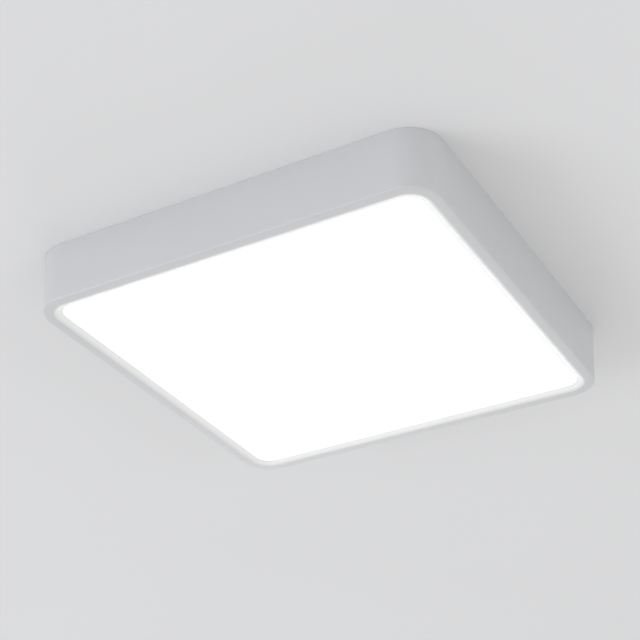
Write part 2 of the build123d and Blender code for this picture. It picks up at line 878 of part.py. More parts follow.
def make_lead_sleeve():
    """Rubber edging in the slot where the leads go down to the LED boards."""
    length = lead_slot_length
    width = lead_slot_width
    wall = lead_sleeve_wall
    ring = SlotOverall(length, width) - SlotOverall(length - 2 * wall, width - 2 * wall)
    collar = SlotOverall(length + wall, width + wall) - SlotOverall(length - 2 * wall, width - 2 * wall)
    body = extrude(Pos(0, 0, shelf_z) * ring, plate_thickness)
    body += extrude(Pos(0, 0, plate_z) * collar, wall)
    return Pos(lead_slot_x, lead_slot_y, 0) * body


def make_earth_stud():
    stud = rod(stud_radius, shelf_z, plate_z + stud_height, earth_x, earth_y)
    stud = chamfer(stud.edges().sort_by(Axis.Z)[-1], stud_radius / 4)
    return stud + rod(stud_head_radius, shelf_z - stud_head_height, shelf_z, earth_x, earth_y)


def stud_hole(low, high):
    """The hole that slides over the earth stud."""
    return rod(stud_radius + thread_clearance, low, high, earth_x, earth_y)


def make_earth_washer():
    return rod(washer_radius, plate_z, ring_z, earth_x, earth_y) - stud_hole(plate_z, ring_z)


def make_earth_ring():
    """A ring terminal: an eye on the stud, a short tongue and a barrel round the wire."""
    top = ring_z + ring_thickness
    tongue_x = earth_x - ring_radius - ring_tongue_length
    half = ring_tongue_width / 2
    ring = rod(ring_radius, ring_z, top, earth_x, earth_y)
    ring += block((tongue_x, earth_y - half, ring_z), (earth_x, earth_y + half, top))
    barrel = Pos(tongue_x - ring_barrel_length / 2, earth_y, ring_z + supply_wire / 2) * Rot(0, 90, 0)
    outer = Cylinder(supply_wire / 2 + ring_thickness, ring_barrel_length)
    inner = Cylinder(supply_wire / 2 + fit_clearance, ring_barrel_length)
    return ring + barrel * (outer - inner) - stud_hole(ring_z, top)


def make_earth_nut():
    low = ring_z + ring_thickness
    corner = nut_across_flats / 2 / math.cos(math.radians(30))
    nut = extrude(Pos(earth_x, earth_y, low) * RegularPolygon(corner, 6), nut_height)
    return nut - stud_hole(low, low + nut_height)


side_names = ("front", "right", "back", "left")
pole_names = ("earth", "neutral", "live")

nodes = {
    "ceiling_bracket": make_ceiling_bracket(),
    "cable_grommet": make_cable_grommet(),
    "outer_frame": make_outer_frame(),
    "diffuser": make_diffuser(),
    "light_guide": make_light_guide(),
    "reflector_sheet": make_reflector(),
    "foam_pad": make_foam_pad(),
    "back_plate": make_back_plate(),
    "back_plate_screws": make_back_plate_screws(),
    "corner_links": make_corner_links(),
    "clip_rivets": make_clip_rivets(),
    "driver_case": make_driver_case(),
    "driver_lid": make_driver_lid(),
    "driver_board": make_driver_board(),
    "driver_fuse": make_fuse(),
    "film_capacitor": make_film_capacitor(),
    "line_choke": make_line_choke(),
    "rectifier": make_rectifier(),
    "input_capacitor": make_input_capacitor(),
    "control_chip": make_control_chip(),
    "transformer_core": make_transformer_core(),
    "transformer_winding": make_transformer_winding(),
    "output_capacitor": make_output_capacitor(),
    "driver_screws": make_small_screws(driver_screw_places(), driver_ear_thickness),
    "terminal_housing": make_terminal_housing(),
    "terminal_clamps": make_terminal_clamps(),
    "terminal_screws": make_small_screws(terminal_screw_places(), terminal_ear_thickness),
    "lead_live": supply_lead(1, supply_entry_offsets()[0]),
    "lead_neutral": supply_lead(0, supply_entry_offsets()[1]),
    "lead_earth": make_lead_earth(),
    "led_lead_red": make_led_lead(-lead_spacing / 2, lead_slot_x - lead_spacing / 2),
    "led_lead_black": make_led_lead(lead_spacing / 2, lead_slot_x + lead_spacing / 2),
    "lead_sleeve": make_lead_sleeve(),
    "earth_stud": make_earth_stud(),
    "earth_washer": make_earth_washer(),
    "earth_ring": make_earth_ring(),
    "earth_nut": make_earth_nut(),
}
for side, name in enumerate(side_names):
    nodes["led_board_" + name] = make_led_board(side)
    nodes["leds_" + name] = make_leds(side)
for number, name in enumerate(pole_names):
    nodes["lever_" + name] = make_lever(number - 1)
for number, (x, y, side) in enumerate(clip_places()):
    nodes["spring_clip_" + str(number + 1)] = make_spring_clip(x, y, side)

os.makedirs("parts", exist_ok=True)
for name, shape in nodes.items():
    solids = shape if isinstance(shape, list) else [shape]
    export_step(Compound(children=[Part() + solid for solid in solids]), "parts/" + name + ".step")
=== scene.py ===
import math

import bmesh
import bpy
from bpy.props import FloatProperty, FloatVectorProperty, IntProperty, PointerProperty
from mathutils import Matrix, Vector


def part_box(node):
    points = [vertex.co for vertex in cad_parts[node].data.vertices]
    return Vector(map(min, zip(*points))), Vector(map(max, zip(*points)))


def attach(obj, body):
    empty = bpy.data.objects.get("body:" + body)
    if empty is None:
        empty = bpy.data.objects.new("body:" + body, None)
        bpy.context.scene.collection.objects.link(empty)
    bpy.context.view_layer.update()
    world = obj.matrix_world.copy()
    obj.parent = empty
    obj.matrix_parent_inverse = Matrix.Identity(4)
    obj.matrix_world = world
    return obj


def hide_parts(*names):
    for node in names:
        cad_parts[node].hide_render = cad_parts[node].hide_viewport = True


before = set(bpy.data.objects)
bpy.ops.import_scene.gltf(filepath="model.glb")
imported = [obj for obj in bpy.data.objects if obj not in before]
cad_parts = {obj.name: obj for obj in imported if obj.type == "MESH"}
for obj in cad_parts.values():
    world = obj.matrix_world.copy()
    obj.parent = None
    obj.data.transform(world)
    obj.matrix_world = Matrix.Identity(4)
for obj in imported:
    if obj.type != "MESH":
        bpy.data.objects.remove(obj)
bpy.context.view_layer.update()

bl_info = {
    "name": "Square ceiling light",
    "version": (1, 0, 0),
    "blender": (4, 5, 0),
    "location": "3D View > Sidebar > Ceiling light",
    "description": "Dresses the packed square ceiling light: frame, lit panel, bracket, driver and wires",
    "category": "Object",
}

MM = 0.001
HANGING = "light_body"
FIXED = "ceiling_mount"
EVEN = (1.0, 1.0, 1.0)


# Sizes and colours that can be set, each with its name, its description and its default


def distance(name, about, value):
    return FloatProperty(name=name, description=about, default=value, subtype="DISTANCE")


def amount(name, about, value, highest=1000.0, unit="NONE"):
    return FloatProperty(name=name, description=about, default=value, min=0.0, max=highest, unit=unit)


def power(name, about, value):
    return amount(name, about, value, unit="POWER")


def whole(name, about, value, least=1):
    return IntProperty(name=name, description=about, default=value, min=least)


def tone(name, about, value):
    return FloatVectorProperty(name=name, description=about, default=value, subtype="COLOR", size=3, max=2.0)


def spot(name, about, value):
    return FloatVectorProperty(name=name, description=about, default=value, subtype="XYZ", size=3)


class FrameSize(bpy.types.PropertyGroup):
    face_width: distance("Face width", "Width of the frame at the lit face", 0.295)
    side_flare: distance("Side flare", "How much each side widens from face to ceiling", 0.0025)
    height: distance("Height", "Ceiling to face", 0.043)
    ceiling_gap: distance("Ceiling gap", "Gap between the frame and the ceiling", 0.0001)
    corner_radius: distance("Corner radius", "Outside corner radius at the face", 0.0227)
    wall: distance("Wall", "Thickness of the sides", 0.002)
    rim_width: distance("Rim width", "Flat rim, to the middle of the rounding into the lip", 0.0086)
    lip_width: distance("Lip width", "Sloped lip from the rim to the window", 0.0029)
    lip_rise: distance("Lip rise", "How far the lip slopes inwards", 0.0019)
    lip_edge: distance("Lip edge", "Upright edge at the inside of the lip", 0.0002)
    edge_round: distance("Edge rounding", "Rounding where side and rim meet", 0.001)
    crease_round: distance("Crease rounding", "Rounding where rim and lip meet", 0.006)
    corner_steps: whole("Corner steps", "Steps round each corner", 28, 4)
    colour: tone("Frame colour", "Powder coat of the frame", (0.588, 0.589, 0.592))


class GlowSettings(bpy.types.PropertyGroup):
    colour: tone("Glow colour", "Colour of the lit window", (0.98, 1.0, 0.91))
    strength: amount("Glow strength", "Brightness of the lit window", 2.0)
    edge: distance("Edge fade", "Width of the softer band along the edge of the window", 0.006)
    edge_glow: amount("Edge glow", "Share of the glow that is left at the edge", 0.05, 1.0)
    # Painted light: strength of the glow put into the frame's paint on the lip, standing in for the window's
    # light that falls there.
    lip: amount("Lip glow", "Light that the sloped lip picks up from the window beside it", 0.27)


class LedSettings(bpy.types.PropertyGroup):
    count: whole("LEDs per side", "Packages on each strip", 26)
    length: distance("LED length", "Along the strip", 0.0035)
    height: distance("LED height", "Across the strip", 0.0028)
    depth: distance("LED depth", "Off the strip", 0.0008)


class FixingSettings(bpy.types.PropertyGroup):
    head_radius: distance("Plate screw head", "Head radius of the back plate's screws", 0.0024)
    head_height: distance("Plate screw head height", "Head height of the back plate's screws", 0.0016)
    small_head_radius: distance("Small screw head", "Head radius of the ear screws", 0.0028)
    small_head_height: distance("Small screw head height", "Head height of the ear screws", 0.0019)
    rivet_radius: distance("Rivet head", "Head radius of the blind rivets", 0.0025)


class WireSettings(bpy.types.PropertyGroup):
    supply: distance("Supply wire", "Diameter over the sheath", 0.0022)
    lead: distance("LED lead", "Diameter over the sheath", 0.001)


class StudioSettings(bpy.types.PropertyGroup):
    camera: spot("Camera", "Place of the camera", (0.45148, -0.81277, -0.58341))
    target: spot("Target", "Point in the middle of the picture", (0.01430, -0.03871, -0.043))
    lens: amount("Lens", "Focal length in millimetres", 86.375, unit="CAMERA")
    ceiling: tone("Ceiling colour", "Painted ceiling", (0.742, 0.742, 0.742))
    overlap: distance("Ceiling overlap", "How far the ceiling reaches over the edge of the frame", 0.0003)
    sky: amount("Room light", "Strength of the even room light", 0.787)
    sky_side: tone("Side light colour", "Room light from the sides", (0.965, 0.98, 1.04))
    sky_below: tone("Low light colour", "Room light from below", (1.015, 1.01, 0.98))
    lamps: tone("Lamp colour", "Colour of the lamps", (0.965, 0.98, 1.05))
    key: power("Key light", "Power of the main lamp in watts", 58.0)
    fill: power("Fill light", "Power of the second lamp in watts", 30.0)
    edge: power("Edge light", "Power of the low lamp beyond the far corner in watts", 12.0)
    top: power("Top light", "Power of the lamp above the ceiling in watts", 9.0)


SETTINGS = {
    "light_frame": FrameSize,
    "light_glow": GlowSettings,
    "light_leds": LedSettings,
    "light_fixings": FixingSettings,
    "light_wires": WireSettings,
    "light_studio": StudioSettings,
}


# Materials


class Graph:
    """A node tree in the making."""

    def __init__(self, tree):
        self.nodes = tree.nodes
        self.links = tree.links

    def join(self, source, socket):
        """Links a socket to another one, or sets it to a value."""
        if isinstance(source, bpy.types.NodeSocket):
            self.links.new(source, socket)
        else:
            socket.default_value = source

    def add(self, kind, sockets=(), **values):
        """A node of a kind, its sockets linked or set by name, its properties set by keyword."""
        node = self.nodes.new(kind)
        for name, value in values.items():
            setattr(node, name, value)
        for socket, source in dict(sockets).items():
            self.join(source, node.inputs[socket])
        return node

    def first(self, kind, sockets=(), **values):
        """The first output of such a node."""
        return self.add(kind, sockets, **values).outputs[0]

    def maths(self, operation, first, second=0.0, clamp=False):
        return self.first("ShaderNodeMath", {0: first, 1: second}, operation=operation, use_clamp=clamp)


class Finish(Graph):
    """A material in the making: a Principled surface with patterns on Object coordinates."""

    def __init__(self, name, roughness=0.5, metallic=0.0):
        self.material = bpy.data.materials.new(name)
        self.material.use_nodes = True
        super().__init__(self.material.node_tree)
        self.surface = self.nodes["Principled BSDF"]
        self.coordinates = self.add("ShaderNodeTexCoord").outputs["Object"]
        self.bumps = None
        self.set("Roughness", roughness)
        self.set("Metallic", metallic)

    def set(self, socket, value):
        self.join(value, self.surface.inputs[socket])
        return self

    def stretched(self, stretch):
        """Object coordinates, drawn out along each axis that has less than 1."""
        return self.first("ShaderNodeMapping", {"Vector": self.coordinates, "Scale": stretch})

    def noise(self, scale, detail=2.0, stretch=EVEN, distortion=0.0):
        """Fine cloudy noise; the scale is in cells per millimetre."""
        place = self.stretched(stretch)
        return self.first(
            "ShaderNodeTexNoise",
            {"Vector": place, "Scale": scale / MM, "Detail": detail, "Distortion": distortion},
        )

    def cells(self, scale, stretch=EVEN, feature="F1", feather=0.0):
        """Cells with a value each, for spangle, foam and pebbled grain; the scale is per millimetre."""
        place = self.stretched(stretch)
        if feather:
            ruffle = self.add("ShaderNodeTexNoise", {"Vector": place, "Scale": 3 * scale / MM, "Detail": 4.0})
            spread = (feather * MM / scale,) * 3
            place = self.first(
                "ShaderNodeVectorMath", {0: ruffle.outputs["Color"], 1: spread, 2: place},
                operation="MULTIPLY_ADD",
            )
        sockets = {"Vector": place, "Scale": scale / MM}
        return self.add("ShaderNodeTexVoronoi", sockets, feature=feature).outputs

    def bands(self, pitch, distortion=0.0):
        """Even bands up the piece; the pitch is in millimetres."""
        per_turn = math.pi / 10
        return self.add(
            "ShaderNodeTexWave",
            {"Vector": self.coordinates, "Scale": per_turn / (pitch * MM), "Distortion": distortion},
            wave_type="BANDS", bands_direction="Z",
        ).outputs["Fac"]

    def ramp(self, value, stops):
        """Colours or greys along a value from 0 to 1."""
        ramp = self.add("ShaderNodeValToRGB", {"Fac": value})
        elements = ramp.color_ramp.elements
        while len(elements) < len(stops):
            elements.new(0.5)
        for element, (place, colour) in zip(elements, stops):
            element.position = place
            element.color = (*colour, 1.0)
        return ramp.outputs["Color"]

    def colour(self, value, stops):
        return self.set("Base Color", self.ramp(value, stops))

    def tint(self, value, colour, spread):
        """The colour, a little darker and lighter with the value."""
        low = tuple(max(0.0, part * (1 - spread)) for part in colour)
        high = tuple(min(1.0, part * (1 + spread)) for part in colour)
        return self.colour(value, ((0.3, low), (0.7, high)))

    def shine(self, value, low, high):
        """Roughness that follows a value."""
        return self.set("Roughness", self.ramp(value, ((0.3, (low,) * 3), (0.7, (high,) * 3))))

    def bump(self, value, height, strength=1.0):
        """Surface relief; the height is in millimetres."""
        sockets = {"Height": value, "Distance": height * MM, "Strength": strength}
        if self.bumps:
            sockets["Normal"] = self.bumps
        self.bumps = self.first("ShaderNodeBump", sockets)
        return self.set("Normal", self.bumps)

    def axes(self):
        """The X, Y and Z of a point on the piece, in metres."""
        return self.add("ShaderNodeSeparateXYZ", {0: self.coordinates}).outputs

    def distance_inside(self, half_width, corner_radius):
        """How far a point is inside a rounded square round the middle, in metres."""
        axes = self.axes()
        sides = [self.maths("ABSOLUTE", axes[axis]) for axis in ("X", "Y")]
        beyond = [self.maths("SUBTRACT", side, half_width - corner_radius) for side in sides]
        outside = [self.maths("MAXIMUM", value, 0.0) for value in beyond]
        squares = [self.maths("MULTIPLY", value, value) for value in outside]
        corner = self.maths("SQRT", self.maths("ADD", *squares))
        flat = self.maths("MINIMUM", self.maths("MAXIMUM", *beyond), 0.0)
        return self.maths("SUBTRACT", corner_radius, self.maths("ADD", corner, flat))


def powder_coat_with_painted_lip_light(size, glow):
    """Satin powder coat with slight orange peel and fine grain; on the lip the paint itself glows, painted
    light that stands in for the window's light falling on it.
    """
    finish = Finish("powder_coat_with_painted_lip_light", roughness=0.42)
    finish.set("Specular IOR Level", 0.45)
    finish.tint(finish.noise(0.012, 3.0), size.colour, 0.012)
    finish.shine(finish.noise(0.09), 0.36, 0.47)
    finish.bump(finish.noise(0.55), 0.012)
    finish.bump(finish.noise(3.2, 1.0), 0.004, 0.6)
    # Painted light: the paint emits on the lip, in the window's colour, standing in for the window's light
    # falling there.
    finish.set("Emission Color", (*glow.colour, 1.0))
    finish.set("Emission Strength", finish.maths("MULTIPLY", lip_share(finish, size), glow.lip))
    return finish.material


def lip_share(finish, size):
    """The share of painted light on the lip: nothing on the rim and the sides, rising up the lip, fastest
    beside the rim.
    """
    curve = 0.3
    margin = 0.05 * MM
    height = finish.axes()["Z"]
    low = finish.maths("LESS_THAN", height, size.lip_rise - size.height + margin)
    inside = finish.distance_inside(size.face_width / 2, size.corner_radius)
    rounded = size.crease_round * math.tan(math.atan2(size.lip_rise, size.lip_width) / 2)
    on_lip = finish.maths("GREATER_THAN", inside, size.rim_width - rounded)
    above_face = finish.maths("ADD", height, size.height)
    lift = finish.maths("DIVIDE", above_face, size.lip_rise, clamp=True)
    return finish.maths("MULTIPLY", finish.maths("POWER", lift, curve), finish.maths("MULTIPLY", on_lip, low))


def opal_acrylic(name="opal_acrylic"):
    """Opal sheet with a satin skin and faint clouding."""
    finish = Finish(name, roughness=0.35)
    finish.tint(finish.noise(0.02, 3.0), (0.86, 0.87, 0.86), 0.015)
    finish.shine(finish.noise(0.2), 0.31, 0.39)
    finish.bump(finish.noise(1.4), 0.003, 0.5)
    return finish


def lit_window(glow, half_width, corner_radius):
    """The lit side of the opal sheet: an even glow that softens in a narrow band at its edge."""
    finish = opal_acrylic("opal_lit")
    share = finish.maths("DIVIDE", finish.distance_inside(half_width, corner_radius), glow.edge, clamp=True)
    levels = ((0.0, glow.edge_glow), (0.5, glow.edge_glow * 3), (1.0, 1.0))
    stops = [(place, tuple(part * level for part in glow.colour)) for place, level in levels]
    finish.set("Emission Color", finish.ramp(share, stops))
    finish.set("Emission Strength", glow.strength)
    return finish


def sheet_zinc(name, colour, grain):
    """Zinc-coated sheet: feathered spangle in two sizes, rolling lines and slow waves."""
    finish = Finish(name, roughness=0.4, metallic=1.0)
    large = finish.cells(0.15, (1.0, 1.0, 0.6), feather=0.9)
    small = finish.cells(0.55, feather=0.6)
    coarse, fine = (
        finish.add("ShaderNodeSeparateColor", {0: cells["Color"]}).outputs for cells in (large, small)
    )
    parts = (finish.maths("MULTIPLY", coarse["Red"], 0.7), finish.maths("MULTIPLY", fine["Red"], 0.3))
    finish.tint(finish.maths("ADD", *parts), colour, 0.055)
    finish.shine(coarse["Green"], 0.33, 0.43)
    finish.bump(finish.noise(0.9, 2.0, grain), 0.006, 0.7)
    finish.bump(finish.noise(0.06), 0.05, 0.35)
    return finish.material


def bright_zinc():
    """Bright plating on screws: cool, with faint warm and blue patches."""
    finish = Finish("bright_zinc", roughness=0.24, metallic=1.0)
    patches = ((0.3, (0.60, 0.61, 0.66)), (0.5, (0.70, 0.70, 0.69)), (0.7, (0.72, 0.69, 0.60)))
    finish.colour(finish.noise(0.5), patches)
    finish.shine(finish.noise(1.5), 0.18, 0.34)
    finish.bump(finish.noise(5.0, 1.0), 0.004, 0.5)
    return finish.material


def rolled_metal(name, colour, grain=EVEN, low=0.26, high=0.4, thread=0.0):
    """Rolled strip or turned metal with fine lines along its grain, and a thread where it has a pitch."""
    finish = Finish(name, roughness=0.35, metallic=1.0)
    finish.tint(finish.noise(0.25, 3.0, grain), colour, 0.05)
    finish.shine(finish.noise(0.6, 2.0, grain), low, high)
    finish.bump(finish.noise(3.0, 1.0, grain), 0.002, 0.5)
    if thread:
        finish.bump(finish.bands(thread), 0.3)
    return finish.material


def moulded_plastic(name, colour, roughness, grain=0.9, depth=0.02):
    """Moulded plastic with a spark-eroded grain and faint flow marks."""
    finish = Finish(name, roughness=roughness)
    finish.tint(finish.noise(0.03, 3.0, distortion=0.4), colour, 0.035)
    finish.shine(finish.noise(0.3), roughness - 0.06, roughness + 0.06)
    finish.bump(finish.noise(grain), depth)
    return finish.material


def glossy_sleeve(name, colour):
    """Shrink sleeve or dipped coat: glossy, slightly wavy."""
    finish = Finish(name, roughness=0.22)
    finish.tint(finish.noise(0.2), colour, 0.10)
    finish.bump(finish.noise(0.5), 0.03, 0.7)
    return finish.set("Coat Weight", 0.3).material


def powdery(finish):
    """The faint bloom and soft grain of a wire's sheath."""
    finish.shine(finish.noise(0.4), 0.32, 0.46)
    return finish.bump(finish.noise(1.6), 0.008, 0.6).material


def sheath(name, colour):
    """Soft satin wire sheath or rubber."""
    finish = Finish(name, roughness=0.38)
    finish.tint(finish.noise(0.12, 3.0), colour, 0.14)
    return powdery(finish)


def striped_sheath():
    """Earth wire: green with a yellow band on one side, which follows the wire."""
    finish = Finish("sheath_green_yellow", roughness=0.38)
    band = finish.add("ShaderNodeAttribute", attribute_name="band").outputs["Fac"]
    green = ((0.0, (0.05, 0.22, 0.05)), (0.60, (0.06, 0.26, 0.06)))
    yellow = ((0.63, (0.72, 0.56, 0.03)), (1.0, (0.80, 0.62, 0.04)))
    finish.colour(band, green + yellow)
    return powdery(finish)


def clear_guide():
    """Clear acrylic whose back is printed with a grid of fine white dots."""
    finish = Finish("clear_guide", roughness=0.08)
    finish.colour(finish.noise(0.05), ((0.3, (0.86, 0.90, 0.90)), (0.7, (0.90, 0.93, 0.93))))
    finish.bump(finish.cells(0.9)["Distance"], 0.01, 0.4)
    return finish.set("Transmission Weight", 0.7).set("IOR", 1.49).material


def white_film():
    """The white reflecting film behind the guide."""
    finish = Finish("white_film", roughness=0.55)
    finish.tint(finish.noise(0.05), (0.86, 0.86, 0.87), 0.02)
    return finish.bump(finish.noise(2.5), 0.003, 0.5).material


def cell_foam():
    """Closed-cell foam: open pores at the cut faces, sunk by the bump and drawn darker inside as painted
    shade.
    """
    finish = Finish("cell_foam", roughness=0.9)
    pores = finish.cells(1.8)["Distance"]
    # Painted shade: the colour darkens towards the middle of each pore, where the bump sinks it.
    finish.colour(pores, ((0.05, (0.02, 0.02, 0.022)), (0.5, (0.07, 0.07, 0.075))))
    return finish.bump(pores, 0.12, 0.8).material


def board_mask():
    """White solder mask on an aluminium strip, with the tracks showing faintly as raised bars."""
    finish = Finish("board_mask", roughness=0.32)
    finish.tint(finish.noise(0.3), (0.80, 0.80, 0.77), 0.03)
    gaps = finish.cells(0.18, (1.0, 1.0, 0.4), "DISTANCE_TO_EDGE")["Distance"]
    tracks = finish.ramp(gaps, ((0.06, (0.0,) * 3), (0.09, (1.0,) * 3)))
    return finish.bump(tracks, 0.03, 0.6).material


def fibre_board():
    """Brown circuit board with its paper fibres and soldered dots."""
    finish = Finish("fibre_board", roughness=0.45)
    finish.tint(finish.noise(0.9, 4.0, (1.0, 0.5, 1.0)), (0.44, 0.29, 0.14), 0.07)
    spots = finish.ramp(finish.cells(0.28)["Distance"], ((0.10, (1.0,) * 3), (0.14, (0.0,) * 3)))
    finish.set("Metallic", spots)
    return finish.bump(spots, 0.15, 0.7).material


def wound_tape():
    """Yellow tape over fine wire, lapped in bands, drawn darker in the hollows between the laps as painted
    shade.
    """
    finish = Finish("wound_tape", roughness=0.3)
    laps = finish.bands(2.9, distortion=0.4)
    # Painted shade: the colour darkens where the laps sink, in step with the bump.
    finish.colour(laps, ((0.1, (0.50, 0.33, 0.03)), (0.6, (0.72, 0.50, 0.05))))
    return finish.bump(laps, 0.08, 0.8).material


def sintered(name, colour, roughness):
    """Pressed and fired powder, as in a ferrite core or a ceramic fuse."""
    finish = Finish(name, roughness=roughness)
    finish.tint(finish.noise(0.8, 3.0), colour, 0.12)
    return finish.bump(finish.cells(4.0)["Distance"], 0.02, 0.6).material


def phosphor():
    """The yellow lens of an LED, softly mottled."""
    finish = Finish("phosphor", roughness=0.3)
    finish.colour(finish.noise(1.2), ((0.3, (0.80, 0.62, 0.10)), (0.7, (0.86, 0.72, 0.20))))
    finish.bump(finish.noise(2.0), 0.01, 0.5)
    return finish.set("Coat Weight", 0.5).material


# Geometry Nodes trees


class Tree(Graph):
    """A Geometry Nodes tree in the making, with named inputs."""

    KINDS = {float: "NodeSocketFloat", int: "NodeSocketInt"}

    def __init__(self, name, inputs, materials=("Material",)):
        self.group = bpy.data.node_groups.new(name, "GeometryNodeTree")
        super().__init__(self.group)
        face = self.group.interface
        face.new_socket("Geometry", in_out="INPUT", socket_type="NodeSocketGeometry")
        for label, value in inputs.items():
            socket = face.new_socket(label, in_out="INPUT", socket_type=self.KINDS[type(value)])
            socket.default_value = value
        for label in materials:
            face.new_socket(label, in_out="INPUT", socket_type="NodeSocketMaterial")
        face.new_socket("Geometry", in_out="OUTPUT", socket_type="NodeSocketGeometry")
        self.inputs = self.nodes.new("NodeGroupInput").outputs

    def vector(self, x=0.0, y=0.0, z=0.0):
        return self.first("ShaderNodeCombineXYZ", {"X": x, "Y": y, "Z": z})

    def finish(self, geometry, accent=None):
        """Realizes the instances, sets the materials and joins the result to the output."""
        done = self.first("GeometryNodeRealizeInstances", {"Geometry": geometry})
        done = self.first("GeometryNodeSetMaterial", {"Geometry": done, "Material": self.inputs["Material"]})
        if accent:
            chosen = self.first("GeometryNodeInputNamedAttribute", {"Name": accent}, data_type="BOOLEAN")
            sockets = {"Geometry": done, "Selection": chosen, "Material": self.inputs["Accent"]}
            done = self.first("GeometryNodeSetMaterial", sockets)
        self.links.new(done, self.nodes.new("NodeGroupOutput").inputs[0])
        return self.group

    def row(self, item, count, pitch, axis="x"):
        """The item repeated along an axis, with the middle of the row at the origin."""
        count, pitch = self.inputs[count], self.inputs[pitch]
        last = self.maths("SUBTRACT", count, 1)
        start = self.maths("MULTIPLY", self.maths("MULTIPLY", last, pitch), -0.5)
        ends = {"Start Location": self.vector(**{axis: start}), "Offset": self.vector(**{axis: pitch})}
        return self.repeat(self.first("GeometryNodeMeshLine", {"Count": count, **ends}), item)

    def repeat(self, points, item, **rotation):
        return self.first("GeometryNodeInstanceOnPoints", {"Points": points, "Instance": item, **rotation})

    def moved(self, item, place):
        return self.first("GeometryNodeTransform", {"Geometry": item, "Translation": place})

    def fillet(self, curve, radius, steps):
        """Rounds the corners of a curve with arcs of points."""
        sockets = {"Curve": curve, "Radius": radius, "Count": self.inputs[steps]}
        return self.first("GeometryNodeFilletCurve", sockets, mode="POLY")

    def sweep(self, path, section, **ends):
        return self.first("GeometryNodeCurveToMesh", {"Curve": path, "Profile Curve": section, **ends})


def swept_frame_tree():
    """Sweeps a closed section round a rounded square."""
    tree = Tree("swept_frame", {"Width": 0.295, "Corner Radius": 0.0227, "Corner Steps": 28})
    width = tree.inputs["Width"]
    square = tree.first("GeometryNodeCurvePrimitiveQuadrilateral", {"Width": width, "Height": width})
    path = tree.fillet(square, tree.inputs["Corner Radius"], "Corner Steps")
    section = tree.first("GeometryNodeMeshToCurve", {"Mesh": tree.inputs["Geometry"]})
    return tree.finish(tree.sweep(path, section))


def rows_on_four_sides_tree():
    """Repeats an item along a row, and the row on four sides of a square."""
    sizes = {"Count": 3, "Pitch": 0.11, "Distance": 0.1, "Height": 0.0}
    tree = Tree("rows_on_four_sides", sizes, ("Material", "Accent"))
    row = tree.row(tree.inputs["Geometry"], "Count", "Pitch")
    shift = tree.vector(y=tree.maths("MULTIPLY", tree.inputs["Distance"], -1), z=tree.inputs["Height"])
    side = tree.moved(row, shift)
    turn = tree.maths("MULTIPLY", tree.first("GeometryNodeInputIndex"), math.pi / 2)
    corners = tree.first("GeometryNodeMeshLine", {"Count": 4, "Offset": (0.0, 0.0, 0.0)})
    return tree.finish(tree.repeat(corners, side, Rotation=tree.vector(z=turn)), "accent")


def pairs_and_rows_tree():
    """Repeats an item in small rows, the rows in a line, and the lines side by side."""
    pairs = {"Count": 2, "Pitch": 0.008, "Group Count": 1, "Group Pitch": 0.22}
    rows = {"Row Count": 1, "Row Pitch": 0.08, "X": 0.0, "Y": 0.0, "Z": 0.0}
    tree = Tree("pairs_and_rows", {**pairs, **rows})
    pair = tree.row(tree.inputs["Geometry"], "Count", "Pitch")
    line = tree.row(pair, "Group Count", "Group Pitch")
    field = tree.row(line, "Row Count", "Row Pitch", "y")
    return tree.finish(tree.moved(field, tree.vector(*(tree.inputs[axis] for axis in "XYZ"))))


def wire_tree():
    """A round sheath along straight runs joined by arcs, with a band value round it."""
    tree = Tree("wire", {"Radius": 0.0011, "Bend Steps": 10, "Sides": 20})
    runs = tree.first("GeometryNodeMeshToCurve", {"Mesh": tree.inputs["Geometry"]})
    bend = tree.first("GeometryNodeInputNamedAttribute", {"Name": "bend"}, data_type="FLOAT")
    path = tree.fillet(runs, bend, "Bend Steps")
    sockets = {"Resolution": tree.inputs["Sides"], "Radius": tree.inputs["Radius"]}
    ring = tree.first("GeometryNodeCurvePrimitiveCircle", sockets)
    around = tree.add("GeometryNodeSplineParameter").outputs["Factor"]
    height = tree.maths("COSINE", tree.maths("MULTIPLY", around, 2 * math.pi))
    band = tree.maths("ADD", tree.maths("MULTIPLY", height, 0.5), 0.5)
    ring = tree.first("GeometryNodeStoreNamedAttribute", {"Geometry": ring, "Name": "band", "Value": band})
    return tree.finish(tree.sweep(path, ring, **{"Fill Caps": True}))


# Mesh helpers


def add_object(name, data):
    """A new object in the scene, at the origin."""
    item = bpy.data.objects.new(name, data)
    bpy.context.scene.collection.objects.link(item)
    return item


def mesh_of(name, points, edges=(), faces=()):
    mesh = bpy.data.meshes.new(name)
    mesh.from_pydata(points, edges, faces)
    return mesh


def mesh_from(form, name):
    """Ends the making of a form, and gives its mesh."""
    mesh = bpy.data.meshes.new(name)
    form.to_mesh(mesh)
    form.free()
    return mesh


def applied(item, keep_layers=False):
    """The item's mesh with its modifiers applied."""
    depsgraph = bpy.context.evaluated_depsgraph_get()
    return bpy.data.meshes.new_from_object(
        item.evaluated_get(depsgraph), preserve_all_data_layers=keep_layers, depsgraph=depsgraph
    )


def grow(name, nodes, start, group, angle=30.0, **values):
    """Runs a tree on a starting mesh; the result is a plain mesh at the origin, in place of CAD nodes."""
    seed = add_object(name + "_seed", start)
    modifier = seed.modifiers.new(name, "NODES")
    modifier.node_group = group
    wanted = {label.replace("_", " ").title(): value for label, value in values.items()}
    for item in group.interface.items_tree:
        if item.in_out == "INPUT" and item.name in wanted:
            modifier[item.identifier] = wanted.pop(item.name)
    if wanted:
        raise ValueError("the tree " + group.name + " has no input named " + ", ".join(wanted))
    mesh = applied(seed, keep_layers=True)
    bpy.data.objects.remove(seed)
    if not mesh.polygons:
        raise ValueError("the tree " + group.name + " made nothing for " + name)
    mesh.name = name
    stand_for(tidy(add_object(name, mesh), angle), *nodes)


